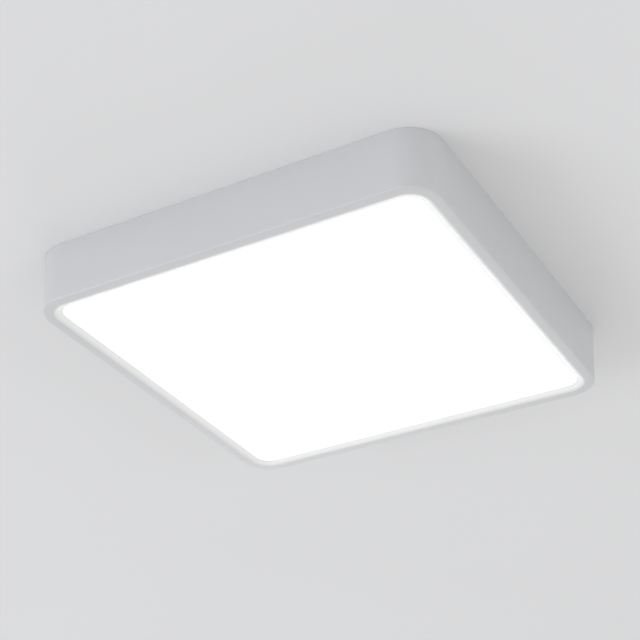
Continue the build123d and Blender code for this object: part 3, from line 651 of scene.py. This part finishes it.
def tidy(piece, angle=30.0):
    """Merges doubles, turns the faces outwards and shades smoothly up to an angle."""
    form = bmesh.new()
    form.from_mesh(piece.data)
    bmesh.ops.remove_doubles(form, verts=form.verts, dist=0.004 * MM)
    bmesh.ops.recalc_face_normals(form, faces=form.faces)
    form.to_mesh(piece.data)
    form.free()
    piece.data.shade_smooth()
    piece.data.set_sharp_from_angle(angle=math.radians(angle))
    return piece


def arc_between(before, corner, after, radius, steps=5):
    """Points that round off a corner of a section, with tangent ends."""
    before, corner, after = Vector(before), Vector(corner), Vector(after)
    if radius <= 0:
        return [corner]
    first = (before - corner).normalized()
    last = (after - corner).normalized()
    half = first.angle(last) / 2
    reach = radius / math.tan(half)
    centre = corner + (first + last).normalized() * (radius / math.sin(half))
    start = corner + first * reach - centre
    end = corner + last * reach - centre
    turn = start.angle(end)
    points = []
    for step in range(steps + 1):
        share = step / steps
        low = math.sin((1 - share) * turn) / math.sin(turn)
        high = math.sin(share * turn) / math.sin(turn)
        points.append(centre + start * low + end * high)
    return points


def rounded_loop(corners):
    """A closed loop through corners, each with its own radius."""
    points = []
    for number, (x, y, radius) in enumerate(corners):
        before = corners[number - 1][:2]
        after = corners[(number + 1) % len(corners)][:2]
        points += arc_between(before, (x, y), after, radius)
    return points


def soften(node, width, angle=35.0, segments=2):
    """A copy of a CAD node with its sharp edges rounded a little."""
    form = bmesh.new()
    form.from_mesh(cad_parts[node].data)
    bmesh.ops.remove_doubles(form, verts=form.verts, dist=0.002 * MM)
    bmesh.ops.dissolve_degenerate(form, edges=form.edges, dist=0.001 * MM)
    bmesh.ops.dissolve_limit(form, angle_limit=math.radians(0.6), verts=form.verts, edges=form.edges)
    mesh = mesh_from(form, node + "_finished")
    mesh.shade_smooth()
    piece = add_object(node + "_finished", mesh)
    bevel = piece.modifiers.new("edges", "BEVEL")
    bevel.width = width
    bevel.segments = segments
    bevel.limit_method = "ANGLE"
    bevel.angle_limit = math.radians(angle)
    bevel.use_clamp_overlap = True
    piece.modifiers.new("normals", "WEIGHTED_NORMAL").weight = 100
    rounded = applied(piece)
    piece.modifiers.clear()
    piece.data = rounded
    return piece


def paint_node(node, material):
    """Gives a CAD node that stays in view its material."""
    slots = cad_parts[node].material_slots
    if not slots:
        raise ValueError("the node " + node + " has no material slot")
    for slot in slots:
        slot.material = material


def stand_for(piece, *nodes, body=HANGING):
    """The piece rides on its body and is shown in place of the CAD nodes."""
    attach(piece, body)
    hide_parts(*nodes)


def soft_copy(node, material, width, body=HANGING, **rounding):
    """A softened copy of a CAD node, in its material, is shown in place of it."""
    piece = soften(node, width, **rounding)
    piece.data.materials.clear()
    piece.data.materials.append(material)
    stand_for(piece, node, body=body)


def span(node):
    """Middle and size of a CAD node's box."""
    low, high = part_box(node)
    return (low + high) / 2, high - low


def square_ring(half_width, corner_radius, level, side_steps=12, corner_steps=6):
    """The points of a rounded square, each side and each corner with the same number of steps."""
    middle = half_width - corner_radius
    points = []
    for quarter in range(4):
        turn = Matrix.Rotation(math.pi / 2 * quarter, 3, "Z")
        for step in range(1, side_steps):
            points.append(turn @ Vector((half_width, middle * (2 * step / side_steps - 1), level)))
        for step in range(corner_steps + 1):
            angle = math.pi / 2 * step / corner_steps
            reach = Vector((math.cos(angle), math.sin(angle), 0)) * corner_radius
            points.append(turn @ (Vector((middle, middle, level)) + reach))
    return points


def ringed_plate(node, border_width):
    """A flat CAD plate remade with faces in rings; those inside the border come first in the materials."""
    low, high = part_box(node)
    rounding = 0.15 * MM
    least_radius = 2 * MM
    half = high.x
    top_row = [v.co.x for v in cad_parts[node].data.vertices if v.co.y > high.y - 0.01 * MM]
    radius = half - max(top_row)
    steps = (0, 0.7, 1.5, 2.5, 4, 7, 12, 19, 29, 42, 57, 74, 92, 110, 128)
    rings = [(rounding, high.z), (0.0, high.z - rounding), (0.0, low.z + rounding), (rounding, low.z)]
    covered_rings = len(rings)
    rings += [(border_width + step * MM, low.z) for step in steps]
    points = []
    for inset, level in rings:
        points += square_ring(half - inset, max(radius - inset, least_radius), level)
    count = len(points) // len(rings)
    faces = [list(range(count))]
    for start in range(0, len(points) - count, count):
        for number in range(count):
            other = (number + 1) % count
            faces.append([start + number, start + other, start + count + other, start + count + number])
    faces.append(list(range(len(points) - count, len(points))))
    mesh = mesh_of(node + "_finished", points, faces=faces)
    covered = 1 + covered_rings * count
    for face in mesh.polygons:
        face.material_index = 1 if face.index < covered else 0
    return add_object(node + "_finished", mesh)


# Small items that the trees repeat


def wall_between(form, low, high):
    """Four-sided faces between two loops that have as many points."""
    count = len(low)
    for number in range(count):
        other = (number + 1) % count
        form.faces.new((low[number], low[other], high[other], high[number]))


def dome(form, radius, height, flatness, sides=20, rings=5):
    """A closed domed head that stands on zero; the flatness sets how square its shoulder is."""
    loops = []
    turns = [2 * math.pi * side / sides for side in range(sides)]
    for ring in range(rings):
        angle = math.pi / 2 * ring / rings
        out = radius * math.cos(angle) ** flatness
        up = height * math.sin(angle) ** flatness
        loops.append([form.verts.new((out * math.cos(turn), out * math.sin(turn), up)) for turn in turns])
    for low, high in zip(loops, loops[1:]):
        wall_between(form, low, high)
    top = form.verts.new((0, 0, height))
    for side in range(sides):
        form.faces.new((loops[-1][side], loops[-1][(side + 1) % sides], top))
    form.faces.new(list(reversed(loops[0])))


def pin(form, radius, length, middle, sides, taper=1.0):
    """A round pin with closed ends, up the middle of the form."""
    made = bmesh.ops.create_cone(
        form, cap_ends=True, segments=sides, radius1=radius, radius2=radius * taper, depth=length
    )
    bmesh.ops.translate(form, verts=made["verts"], vec=(0, 0, middle))


def cross_cut(head, top, radius, width, depth):
    """The mesh of a head with a cross recess cut into it, narrower at the bottom."""
    outline = []
    arm = [(width, width), (width, radius), (-width, radius)]
    for quarter in range(4):
        outline += arm
        arm = [(-y, x) for x, y in arm]
    taper = 0.45
    form = bmesh.new()
    low = [form.verts.new((x * taper, y * taper, top - depth)) for x, y in outline]
    high = [form.verts.new((x, y, top + depth)) for x, y in outline]
    wall_between(form, low, high)
    form.faces.new(low)
    form.faces.new(high)
    bmesh.ops.recalc_face_normals(form, faces=form.faces)
    cutter = add_object("recess", mesh_from(form, "recess"))
    cut = head.modifiers.new("recess", "BOOLEAN")
    cut.object = cutter
    cut.operation = "DIFFERENCE"
    cut.solver = "EXACT"
    result = applied(head)
    bpy.data.objects.remove(cutter)
    return result


def screw_item(head_radius, head_height, shank_radius, shank_length):
    """One pan-head screw, the seat of its head at the origin."""
    form = bmesh.new()
    dome(form, head_radius, head_height, 0.62)
    bmesh.ops.recalc_face_normals(form, faces=form.faces)
    head = add_object("head", mesh_from(form, "head"))
    screw = cross_cut(head, head_height, head_radius * 0.55, head_radius * 0.13, head_height * 0.7)
    bpy.data.objects.remove(head)
    form = bmesh.new()
    form.from_mesh(screw)
    pin(form, shank_radius, shank_length, -shank_length / 2, 16)
    form.to_mesh(screw)
    form.free()
    return screw


def rivet_item(radius, height, shank_radius, shank_length, tail_radius, tail_height):
    """One blind rivet: a low domed flange with the broken pin in its middle, and the tail below."""
    taper = 0.96
    form = bmesh.new()
    dome(form, radius, height, 0.7)
    pin(form, radius * 0.36, height * 0.5, height * 0.75, 14, taper)
    pin(form, shank_radius, shank_length, -shank_length / 2, 14, taper)
    pin(form, tail_radius, tail_height, -shank_length - tail_height / 2, 16, taper)
    return mesh_from(form, "rivet")


def led_item(length, depth, height):
    """One LED: a white cup with a sunk yellow lens that faces the middle of the light."""
    form = bmesh.new()
    accent = form.faces.layers.bool.new("accent")
    rim = 0.14
    loops = []
    for y, share in ((0.0, 1.0), (depth, 1.0), (depth, 1.0 - rim), (depth * 0.8, 1.0 - 1.6 * rim)):
        half_x = length / 2 - (1 - share) * height / 2
        half_z = height / 2 * share
        corners = ((1, 1), (-1, 1), (-1, -1), (1, -1))
        loops.append([form.verts.new((x * half_x, y, z * half_z)) for x, z in corners])
    for low, high in zip(loops, loops[1:]):
        wall_between(form, low, high)
    form.faces.new(loops[0])
    lens = form.faces.new(loops[-1])
    lens[accent] = True
    bmesh.ops.recalc_face_normals(form, faces=form.faces)
    return mesh_from(form, "led")


# One operator for each piece or group of like pieces


class DOWNLIGHT_OT_frame(bpy.types.Operator):
    """Sweeps the white frame: flared sides, rounded corners, narrow rim and sloped inner lip"""

    bl_idname = "downlight.frame"
    bl_label = "Outer frame"

    def execute(self, context):
        size = context.scene.light_frame
        # The frame's paint carries painted light: a glow on its lip beside the window.
        material = powder_coat_with_painted_lip_light(size, context.scene.light_glow)
        points = [(point.x, -point.y, 0.0) for point in rounded_loop(self.section(size))]
        edges = [(number, (number + 1) % len(points)) for number in range(len(points))]
        grow(
            "outer_frame_finished", ["outer_frame"], mesh_of("frame_section", points, edges),
            swept_frame_tree(), angle=28, material=material,
            width=size.face_width, corner_radius=size.corner_radius, corner_steps=size.corner_steps,
        )
        return {"FINISHED"}

    def section(self, size):
        """The corners of the frame's section: how far beyond the face's edge, how high, and the rounding."""
        fine = 0.15 * MM
        face = -size.height
        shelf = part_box("back_plate")[0].z
        ledge = face + size.lip_rise + size.lip_edge
        pocket = -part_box("led_board_front")[0].y - size.face_width / 2
        draft = size.side_flare / size.height
        flare = draft * (size.height - size.ceiling_gap)
        window = -(size.rim_width + size.lip_width)
        return [
            (0.0, face, size.edge_round),
            (flare, -size.ceiling_gap, fine),
            (flare - size.wall, -size.ceiling_gap, fine),
            (draft * (shelf - face) - size.wall, shelf, 0.2 * MM),
            (pocket, shelf, fine),
            (pocket, ledge, fine),
            (window, ledge, fine),
            (window, face + size.lip_rise, fine),
            (-size.rim_width, face, size.crease_round),
        ]


class DOWNLIGHT_OT_lit_panel(bpy.types.Operator):
    """Finishes the lit window, the clear guide, the white film and the foam behind it"""

    bl_idname = "downlight.lit_panel"
    bl_label = "Lit panel"

    def execute(self, context):
        size = context.scene.light_frame
        border = size.rim_width + size.lip_width
        half = size.face_width / 2
        window = lit_window(context.scene.light_glow, half - border, size.corner_radius - border)
        sheet = ringed_plate("diffuser", border - (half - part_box("diffuser")[1].x))
        sheet.data.materials.append(window.material)
        sheet.data.materials.append(opal_acrylic().material)
        stand_for(tidy(sheet), "diffuser")
        paint_node("light_guide", clear_guide())
        paint_node("reflector_sheet", white_film())
        paint_node("foam_pad", cell_foam())
        return {"FINISHED"}


class DOWNLIGHT_OT_led_strips(bpy.types.Operator):
    """Repeats the LEDs along the four strips and finishes the strips and the wires that join them"""

    bl_idname = "downlight.led_strips"
    bl_label = "LED strips"

    def execute(self, context):
        led = context.scene.light_leds
        sides = ("front", "right", "back", "left")
        middle, size = span("leds_front")
        pitch = (size.x - led.length) / (led.count - 1)
        cup = moulded_plastic("led_cup", (0.84, 0.84, 0.82), 0.4)
        grow(
            "leds_finished", ["leds_" + side for side in sides], led_item(led.length, led.depth, led.height),
            rows_on_four_sides_tree(), material=cup, accent=phosphor(),
            count=led.count, pitch=pitch, distance=-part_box("leds_front")[0].y, height=middle.z,
        )
        board = board_mask()
        for side in sides:
            paint_node("led_board_" + side, board)
        paint_node("corner_links", sheath("link_sheath", (0.42, 0.03, 0.02)))
        return {"FINISHED"}


class DOWNLIGHT_OT_back_plate(bpy.types.Operator):
    """Finishes the zinc-coated back plate and repeats its screws on four sides"""

    bl_idname = "downlight.back_plate"
    bl_label = "Back plate"

    def execute(self, context):
        fixing = context.scene.light_fixings
        zinc = sheet_zinc("plate_zinc", (0.56, 0.57, 0.585), (0.15, 1.0, 1.0))
        soft_copy("back_plate", zinc, 0.15 * MM, angle=30)
        low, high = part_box("back_plate_screws")
        seat = high.z - fixing.head_height
        grow(
            "plate_screws_finished", ["back_plate_screws"],
            screw_item(fixing.head_radius, fixing.head_height, 1.15 * MM, seat - low.z),
            rows_on_four_sides_tree(), angle=35, material=bright_zinc(),
            count=3, pitch=self.pitch(fixing.head_radius), distance=high.x - fixing.head_radius, height=seat,
        )
        return {"FINISHED"}

    def pitch(self, head_radius):
        """The pitch of three screws in a row, read from the ones nearest the front side."""
        points = [vertex.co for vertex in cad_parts["back_plate_screws"].data.vertices]
        front = min(point.y for point in points)
        row = [point.x for point in points if point.y < front + 2 * head_radius]
        return (max(row) - min(row) - 2 * head_radius) / 2


class DOWNLIGHT_OT_bracket(bpy.types.Operator):
    """Finishes the ceiling bracket and its rubber grommet"""

    bl_idname = "downlight.bracket"
    bl_label = "Ceiling bracket"

    def execute(self, context):
        zinc = sheet_zinc("bracket_zinc", (0.52, 0.53, 0.55), (0.12, 1.0, 1.0))
        rubber = sheath("grommet_rubber", (0.025, 0.025, 0.026))
        soft_copy("ceiling_bracket", zinc, 0.2 * MM, body=FIXED)
        soft_copy("cable_grommet", rubber, 0.35 * MM, body=FIXED, segments=3)
        return {"FINISHED"}


class DOWNLIGHT_OT_spring_clips(bpy.types.Operator):
    """Finishes the four spring clips and repeats their rivets in pairs"""

    bl_idname = "downlight.spring_clips"
    bl_label = "Spring clips"

    def execute(self, context):
        radius = context.scene.light_fixings.rivet_radius
        strip_thickness = 0.5 * MM
        tail_height = 0.6 * MM
        pitch = 8.0 * MM
        steel = rolled_metal("spring_steel", (0.50, 0.51, 0.53), (1.0, 0.12, 0.12), 0.26, 0.33)
        for number in range(1, 5):
            paint_node("spring_clip_" + str(number), steel)
        low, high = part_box("clip_rivets")
        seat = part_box("spring_clip_1")[0].z + strip_thickness
        grow(
            "rivets_finished", ["clip_rivets"],
            rivet_item(radius, high.z - seat, 1.5 * MM, seat - low.z - tail_height, 2.2 * MM, tail_height),
            pairs_and_rows_tree(), angle=35, material=rolled_metal("rivet_metal", (0.62, 0.62, 0.63)),
            count=2, pitch=pitch, group_count=2, group_pitch=2 * high.x - 2 * radius - pitch,
            row_count=2, row_pitch=2 * high.y - 2 * radius, z=seat,
        )
        return {"FINISHED"}


class DOWNLIGHT_OT_driver(bpy.types.Operator):
    """Finishes the driver: case, lid, screws, and the circuit board with its components"""

    bl_idname = "downlight.driver"
    bl_label = "Driver"

    def execute(self, context):
        white = moulded_plastic("driver_plastic", (0.74, 0.74, 0.71), 0.48, 0.8, 0.025)
        for node in ("driver_case", "driver_lid"):
            soft_copy(node, white, 0.3 * MM)
        paint_node("driver_board", fibre_board())
        paint_node("driver_fuse", sintered("fuse_glaze", (0.62, 0.58, 0.48), 0.3))
        paint_node("film_capacitor", glossy_sleeve("film_red", (0.40, 0.03, 0.025)))
        paint_node("line_choke", glossy_sleeve("choke_black", (0.02, 0.02, 0.02)))
        paint_node("input_capacitor", glossy_sleeve("can_blue", (0.015, 0.04, 0.16)))
        paint_node("output_capacitor", glossy_sleeve("can_black", (0.015, 0.015, 0.02)))
        chip = moulded_plastic("chip_epoxy", (0.018, 0.018, 0.018), 0.6, 2.0, 0.01)
        paint_node("rectifier", chip)
        paint_node("control_chip", chip)
        paint_node("transformer_core", sintered("ferrite", (0.035, 0.033, 0.032), 0.6))
        paint_node("transformer_winding", wound_tape())
        place_ear_screws(context, "driver_screws", "x")
        return {"FINISHED"}


def place_ear_screws(context, node, axis):
    """The two screws of a housing's ears, in line along an axis."""
    fixing = context.scene.light_fixings
    radius, height = fixing.small_head_radius, fixing.small_head_height
    middle, size = span(node)
    low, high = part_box(node)
    seat = high.z - height
    reach = getattr(size, axis) - 2 * radius
    along = {"count": 2, "pitch": reach} if axis == "x" else {"count": 1, "row_count": 2, "row_pitch": reach}
    grow(
        node + "_finished", [node], screw_item(radius, height, 1.4 * MM, seat - low.z),
        pairs_and_rows_tree(), angle=35, material=bright_zinc(), x=middle.x, y=middle.y, z=seat, **along,
    )


class DOWNLIGHT_OT_terminal(bpy.types.Operator):
    """Finishes the terminal block: housing, three levers, clamps and screws"""

    bl_idname = "downlight.terminal"
    bl_label = "Terminal block"

    def execute(self, context):
        grey = moulded_plastic("terminal_plastic", (0.27, 0.29, 0.31), 0.42, 1.2, 0.015)
        orange = moulded_plastic("lever_plastic", (0.70, 0.13, 0.02), 0.36, 1.2, 0.012)
        soft_copy("terminal_housing", grey, 0.2 * MM)
        for lever in ("lever_earth", "lever_neutral", "lever_live"):
            soft_copy(lever, orange, 0.15 * MM, body=lever)
        paint_node("terminal_clamps", rolled_metal("clamp_copper", (0.62, 0.35, 0.20), (1.0, 0.2, 1.0)))
        place_ear_screws(context, "terminal_screws", "y")
        return {"FINISHED"}


class DOWNLIGHT_OT_earth_point(bpy.types.Operator):
    """Finishes the earth stud with its washer, ring terminal and nut"""

    bl_idname = "downlight.earth_point"
    bl_label = "Earth point"

    def execute(self, context):
        brass = (0.62, 0.44, 0.16)
        turned = rolled_metal("earth_brass", brass, (1.0, 1.0, 6.0), 0.2, 0.34)
        paint_node("earth_stud", rolled_metal("threaded_brass", brass, thread=0.7))
        soft_copy("earth_nut", turned, 0.25 * MM)
        paint_node("earth_washer", bright_zinc())
        paint_node("earth_ring", rolled_metal("ring_tin", (0.62, 0.61, 0.58), low=0.22, high=0.36))
        return {"FINISHED"}


# The corners of each wire's straight runs in millimetres, and the bend at each corner between its ends
WIRE_ROUTES = {
    "lead_live": (
        (35.9, -58.0, -28.4), (75.5, -58.0, -28.4), (80.0, -40.0, -28.4),
        (80.0, 50.0, -24.55), (75.5, 68.0, -24.55), (56.8, 68.0, -24.55),
    ),
    "lead_neutral": (
        (35.9, -66.0, -28.4), (83.5, -66.0, -28.4), (88.0, -48.0, -28.4),
        (88.0, 58.0, -24.55), (83.5, 76.0, -24.55), (56.8, 76.0, -24.55),
    ),
    "lead_earth": ((35.9, -74.0, -28.4), (49.9, -74.0, -28.4), (60.0, -92.0, -30.3), (73.0, -92.0, -30.3)),
    "led_lead_red": (
        (-48.0, 70.0, -24.55), (-65.0, 70.0, -24.55), (-85.98, 74.0, -30.2),
        (-95.98, 88.0, -30.2), (-95.98, 140.58, -30.2), (-95.98, 140.58, -34.3),
    ),
    "led_lead_black": (
        (-48.0, 74.0, -24.55), (-65.0, 74.0, -24.55), (-81.98, 78.0, -30.2),
        (-91.98, 92.0, -30.2), (-91.98, 140.58, -30.2), (-91.98, 140.58, -34.3),
    ),
}
WIRE_BENDS = {
    "lead_live": (6.3,) * 4, "lead_neutral": (6.3,) * 4, "lead_earth": (4.0,) * 2,
    "led_lead_red": (5.0, 5.0, 5.0, 2.0), "led_lead_black": (5.0, 5.0, 5.0, 2.0),
}


class DOWNLIGHT_OT_wires(bpy.types.Operator):
    """Lays the sheathed wires along their routes and finishes the rubber edging of their slot"""

    bl_idname = "downlight.wires"
    bl_label = "Wires"

    def execute(self, context):
        wires = context.scene.light_wires
        tree = wire_tree()
        sheaths = {
            "lead_live": sheath("sheath_brown", (0.10, 0.035, 0.015)),
            "lead_neutral": sheath("sheath_blue", (0.01, 0.06, 0.30)),
            "lead_earth": striped_sheath(),
            "led_lead_red": sheath("sheath_red", (0.40, 0.02, 0.015)),
            "led_lead_black": sheath("sheath_black", (0.015, 0.015, 0.016)),
        }
        for node, material in sheaths.items():
            radius = (wires.lead if node.startswith("led") else wires.supply) / 2
            runs = self.runs(node)
            grow(node + "_finished", [node], runs, tree, angle=50, material=material, radius=radius)
        paint_node("lead_sleeve", sheath("sleeve_rubber", (0.02, 0.02, 0.021)))
        return {"FINISHED"}

    def runs(self, node):
        """The straight runs of a wire, with its bends as an attribute."""
        route = [Vector(corner) * MM for corner in WIRE_ROUTES[node]]
        runs = mesh_of(node + "_runs", route, [(number, number + 1) for number in range(len(route) - 1)])
        bends = runs.attributes.new("bend", "FLOAT", "POINT")
        for number, bend in enumerate(WIRE_BENDS[node]):
            bends.data[number + 1].value = bend * MM
        return runs


class DOWNLIGHT_OT_studio(bpy.types.Operator):
    """Builds the pale ceiling, the soft room light, the lamps and the camera below the light"""

    bl_idname = "downlight.studio"
    bl_label = "Studio"

    def execute(self, context):
        studio = context.scene.light_studio
        self.ceiling(context, studio)
        self.room_light(context, studio)
        self.lamp("key_lamp", studio.key, (-2.76, -2.76, -1.58), 2.4, studio.lamps)
        self.lamp("fill_lamp", studio.fill, (4.6, -1.4, -1.3), 2.4, studio.lamps)
        self.lamp("edge_lamp", studio.edge, (-1.71, 2.96, -0.90), 1.5, studio.lamps)
        self.lamp("top_lamp", studio.top, (0.3, -0.3, 2.0), 2.2, EVEN)
        self.camera(context, studio)
        context.scene.view_settings.view_transform = "Standard"
        return {"FINISHED"}

    def ceiling(self, context, studio):
        """A large plane, clear from above; its patch over the light also lets light in to the inside."""
        size = context.scene.light_frame
        reach = 6.0
        clearance = 0.05 * MM
        grown = size.side_flare - studio.overlap
        patch = square_ring(size.face_width / 2 + grown, size.corner_radius + grown, 0.0, 1, 24)
        outer = [Vector((x * reach, y * reach, 0.0)) for x, y in ((1, 1), (-1, 1), (-1, -1), (1, -1))]
        quarter = len(patch) // 4
        faces = [list(range(4, 4 + len(patch)))[::-1]]
        for corner in range(4):
            after = (corner + 1) % 4
            start = 4 + corner * quarter
            for step in range(start, start + quarter - 1):
                faces.append([corner, step, step + 1])
            faces.append([corner, start + quarter - 1, 4 + after * quarter, after])
        plane = add_object("studio_ceiling", mesh_of("studio_ceiling", outer + patch, faces=faces))
        plane.location.z = clearance
        plane.data.materials.append(self.paint("painted_ceiling", studio.ceiling, False))
        plane.data.materials.append(self.paint("painted_patch", studio.ceiling, True))
        for face in plane.data.polygons:
            face.material_index = 0 if face.index else 1

    def paint(self, name, colour, lets_light_in):
        """Matt ceiling paint that is clear from its back, and where asked also to all but the camera."""
        finish = Finish(name, roughness=0.9)
        finish.tint(finish.noise(0.004, 3.0), colour, 0.006)
        finish.set("Specular IOR Level", 0.1)
        share = finish.add("ShaderNodeNewGeometry").outputs["Backfacing"]
        if lets_light_in:
            seen = finish.add("ShaderNodeLightPath").outputs["Is Camera Ray"]
            share = finish.maths("MAXIMUM", share, finish.maths("SUBTRACT", 1.0, seen))
        clear = finish.first("ShaderNodeBsdfTransparent")
        mix = finish.first("ShaderNodeMixShader", {0: share, 1: finish.surface.outputs[0], 2: clear})
        finish.join(mix, finish.nodes["Material Output"].inputs["Surface"])
        return finish.material

    def room_light(self, context, studio):
        """An even light, slightly cooler from the sides; the camera sees a plain pale backdrop instead."""
        world = bpy.data.worlds.new("room")
        context.scene.world = world
        world.use_nodes = True
        graph = Graph(world.node_tree)
        way = graph.add("ShaderNodeTexCoord").outputs["Generated"]
        slope = graph.maths("ABSOLUTE", graph.add("ShaderNodeSeparateXYZ", {0: way}).outputs["Z"])
        colours = {"Factor": slope, 6: (*studio.sky_side, 1.0), 7: (*studio.sky_below, 1.0)}
        light = graph.nodes["Background"]
        graph.join(studio.sky, light.inputs["Strength"])
        graph.join(graph.add("ShaderNodeMix", colours, data_type="RGBA").outputs[2], light.inputs["Color"])
        backdrop = graph.first("ShaderNodeBackground", {"Color": (0.72, 0.72, 0.73, 1.0)})
        rays = graph.add("ShaderNodeLightPath").outputs
        seen = rays["Is Camera Ray"]
        for kind in ("Is Transmission Ray", "Is Glossy Ray"):
            seen = graph.maths("MAXIMUM", seen, rays[kind])
        mix = graph.first("ShaderNodeMixShader", {0: seen, 1: light.outputs[0], 2: backdrop})
        graph.join(mix, graph.nodes["World Output"].inputs["Surface"])

    def lamp(self, name, power, place, size, colour):
        """A square soft lamp that faces the light."""
        data = bpy.data.lights.new(name, "AREA")
        data.energy = power
        data.size = size
        data.color = colour
        lamp = add_object(name, data)
        lamp.location = place
        lamp.rotation_euler = (-Vector(place)).to_track_quat("-Z", "Y").to_euler()

    def camera(self, context, studio):
        data = bpy.data.cameras.new("camera")
        data.lens = studio.lens
        data.sensor_width = 36.0
        data.clip_start = 0.01
        camera = add_object("camera", data)
        camera.location = studio.camera
        aim = Vector(studio.target) - Vector(studio.camera)
        camera.rotation_euler = aim.to_track_quat("-Z", "Y").to_euler()
        context.scene.camera = camera


class DOWNLIGHT_PT_pieces(bpy.types.Panel):
    """The pieces of the ceiling light, in the order they are made"""

    bl_label = "Ceiling light"
    bl_idname = "DOWNLIGHT_PT_pieces"
    bl_space_type = "VIEW_3D"
    bl_region_type = "UI"
    bl_category = "Ceiling light"

    def draw(self, context):
        for operator in OPERATORS:
            self.layout.operator(operator.bl_idname)


OPERATORS = (
    DOWNLIGHT_OT_studio,
    DOWNLIGHT_OT_frame,
    DOWNLIGHT_OT_lit_panel,
    DOWNLIGHT_OT_led_strips,
    DOWNLIGHT_OT_back_plate,
    DOWNLIGHT_OT_bracket,
    DOWNLIGHT_OT_spring_clips,
    DOWNLIGHT_OT_driver,
    DOWNLIGHT_OT_terminal,
    DOWNLIGHT_OT_earth_point,
    DOWNLIGHT_OT_wires,
)


def register():
    for settings in SETTINGS.values():
        bpy.utils.register_class(settings)
    for name, settings in SETTINGS.items():
        setattr(bpy.types.Scene, name, PointerProperty(type=settings))
    for operator in OPERATORS:
        bpy.utils.register_class(operator)
    bpy.utils.register_class(DOWNLIGHT_PT_pieces)


def unregister():
    bpy.utils.unregister_class(DOWNLIGHT_PT_pieces)
    for operator in reversed(OPERATORS):
        bpy.utils.unregister_class(operator)
    for name, settings in SETTINGS.items():
        delattr(bpy.types.Scene, name)
        bpy.utils.unregister_class(settings)


def main():
    register()
    for operator in OPERATORS:
        getattr(bpy.ops.downlight, operator.bl_idname.split(".")[1])()


if __name__ == "__main__":
    main()
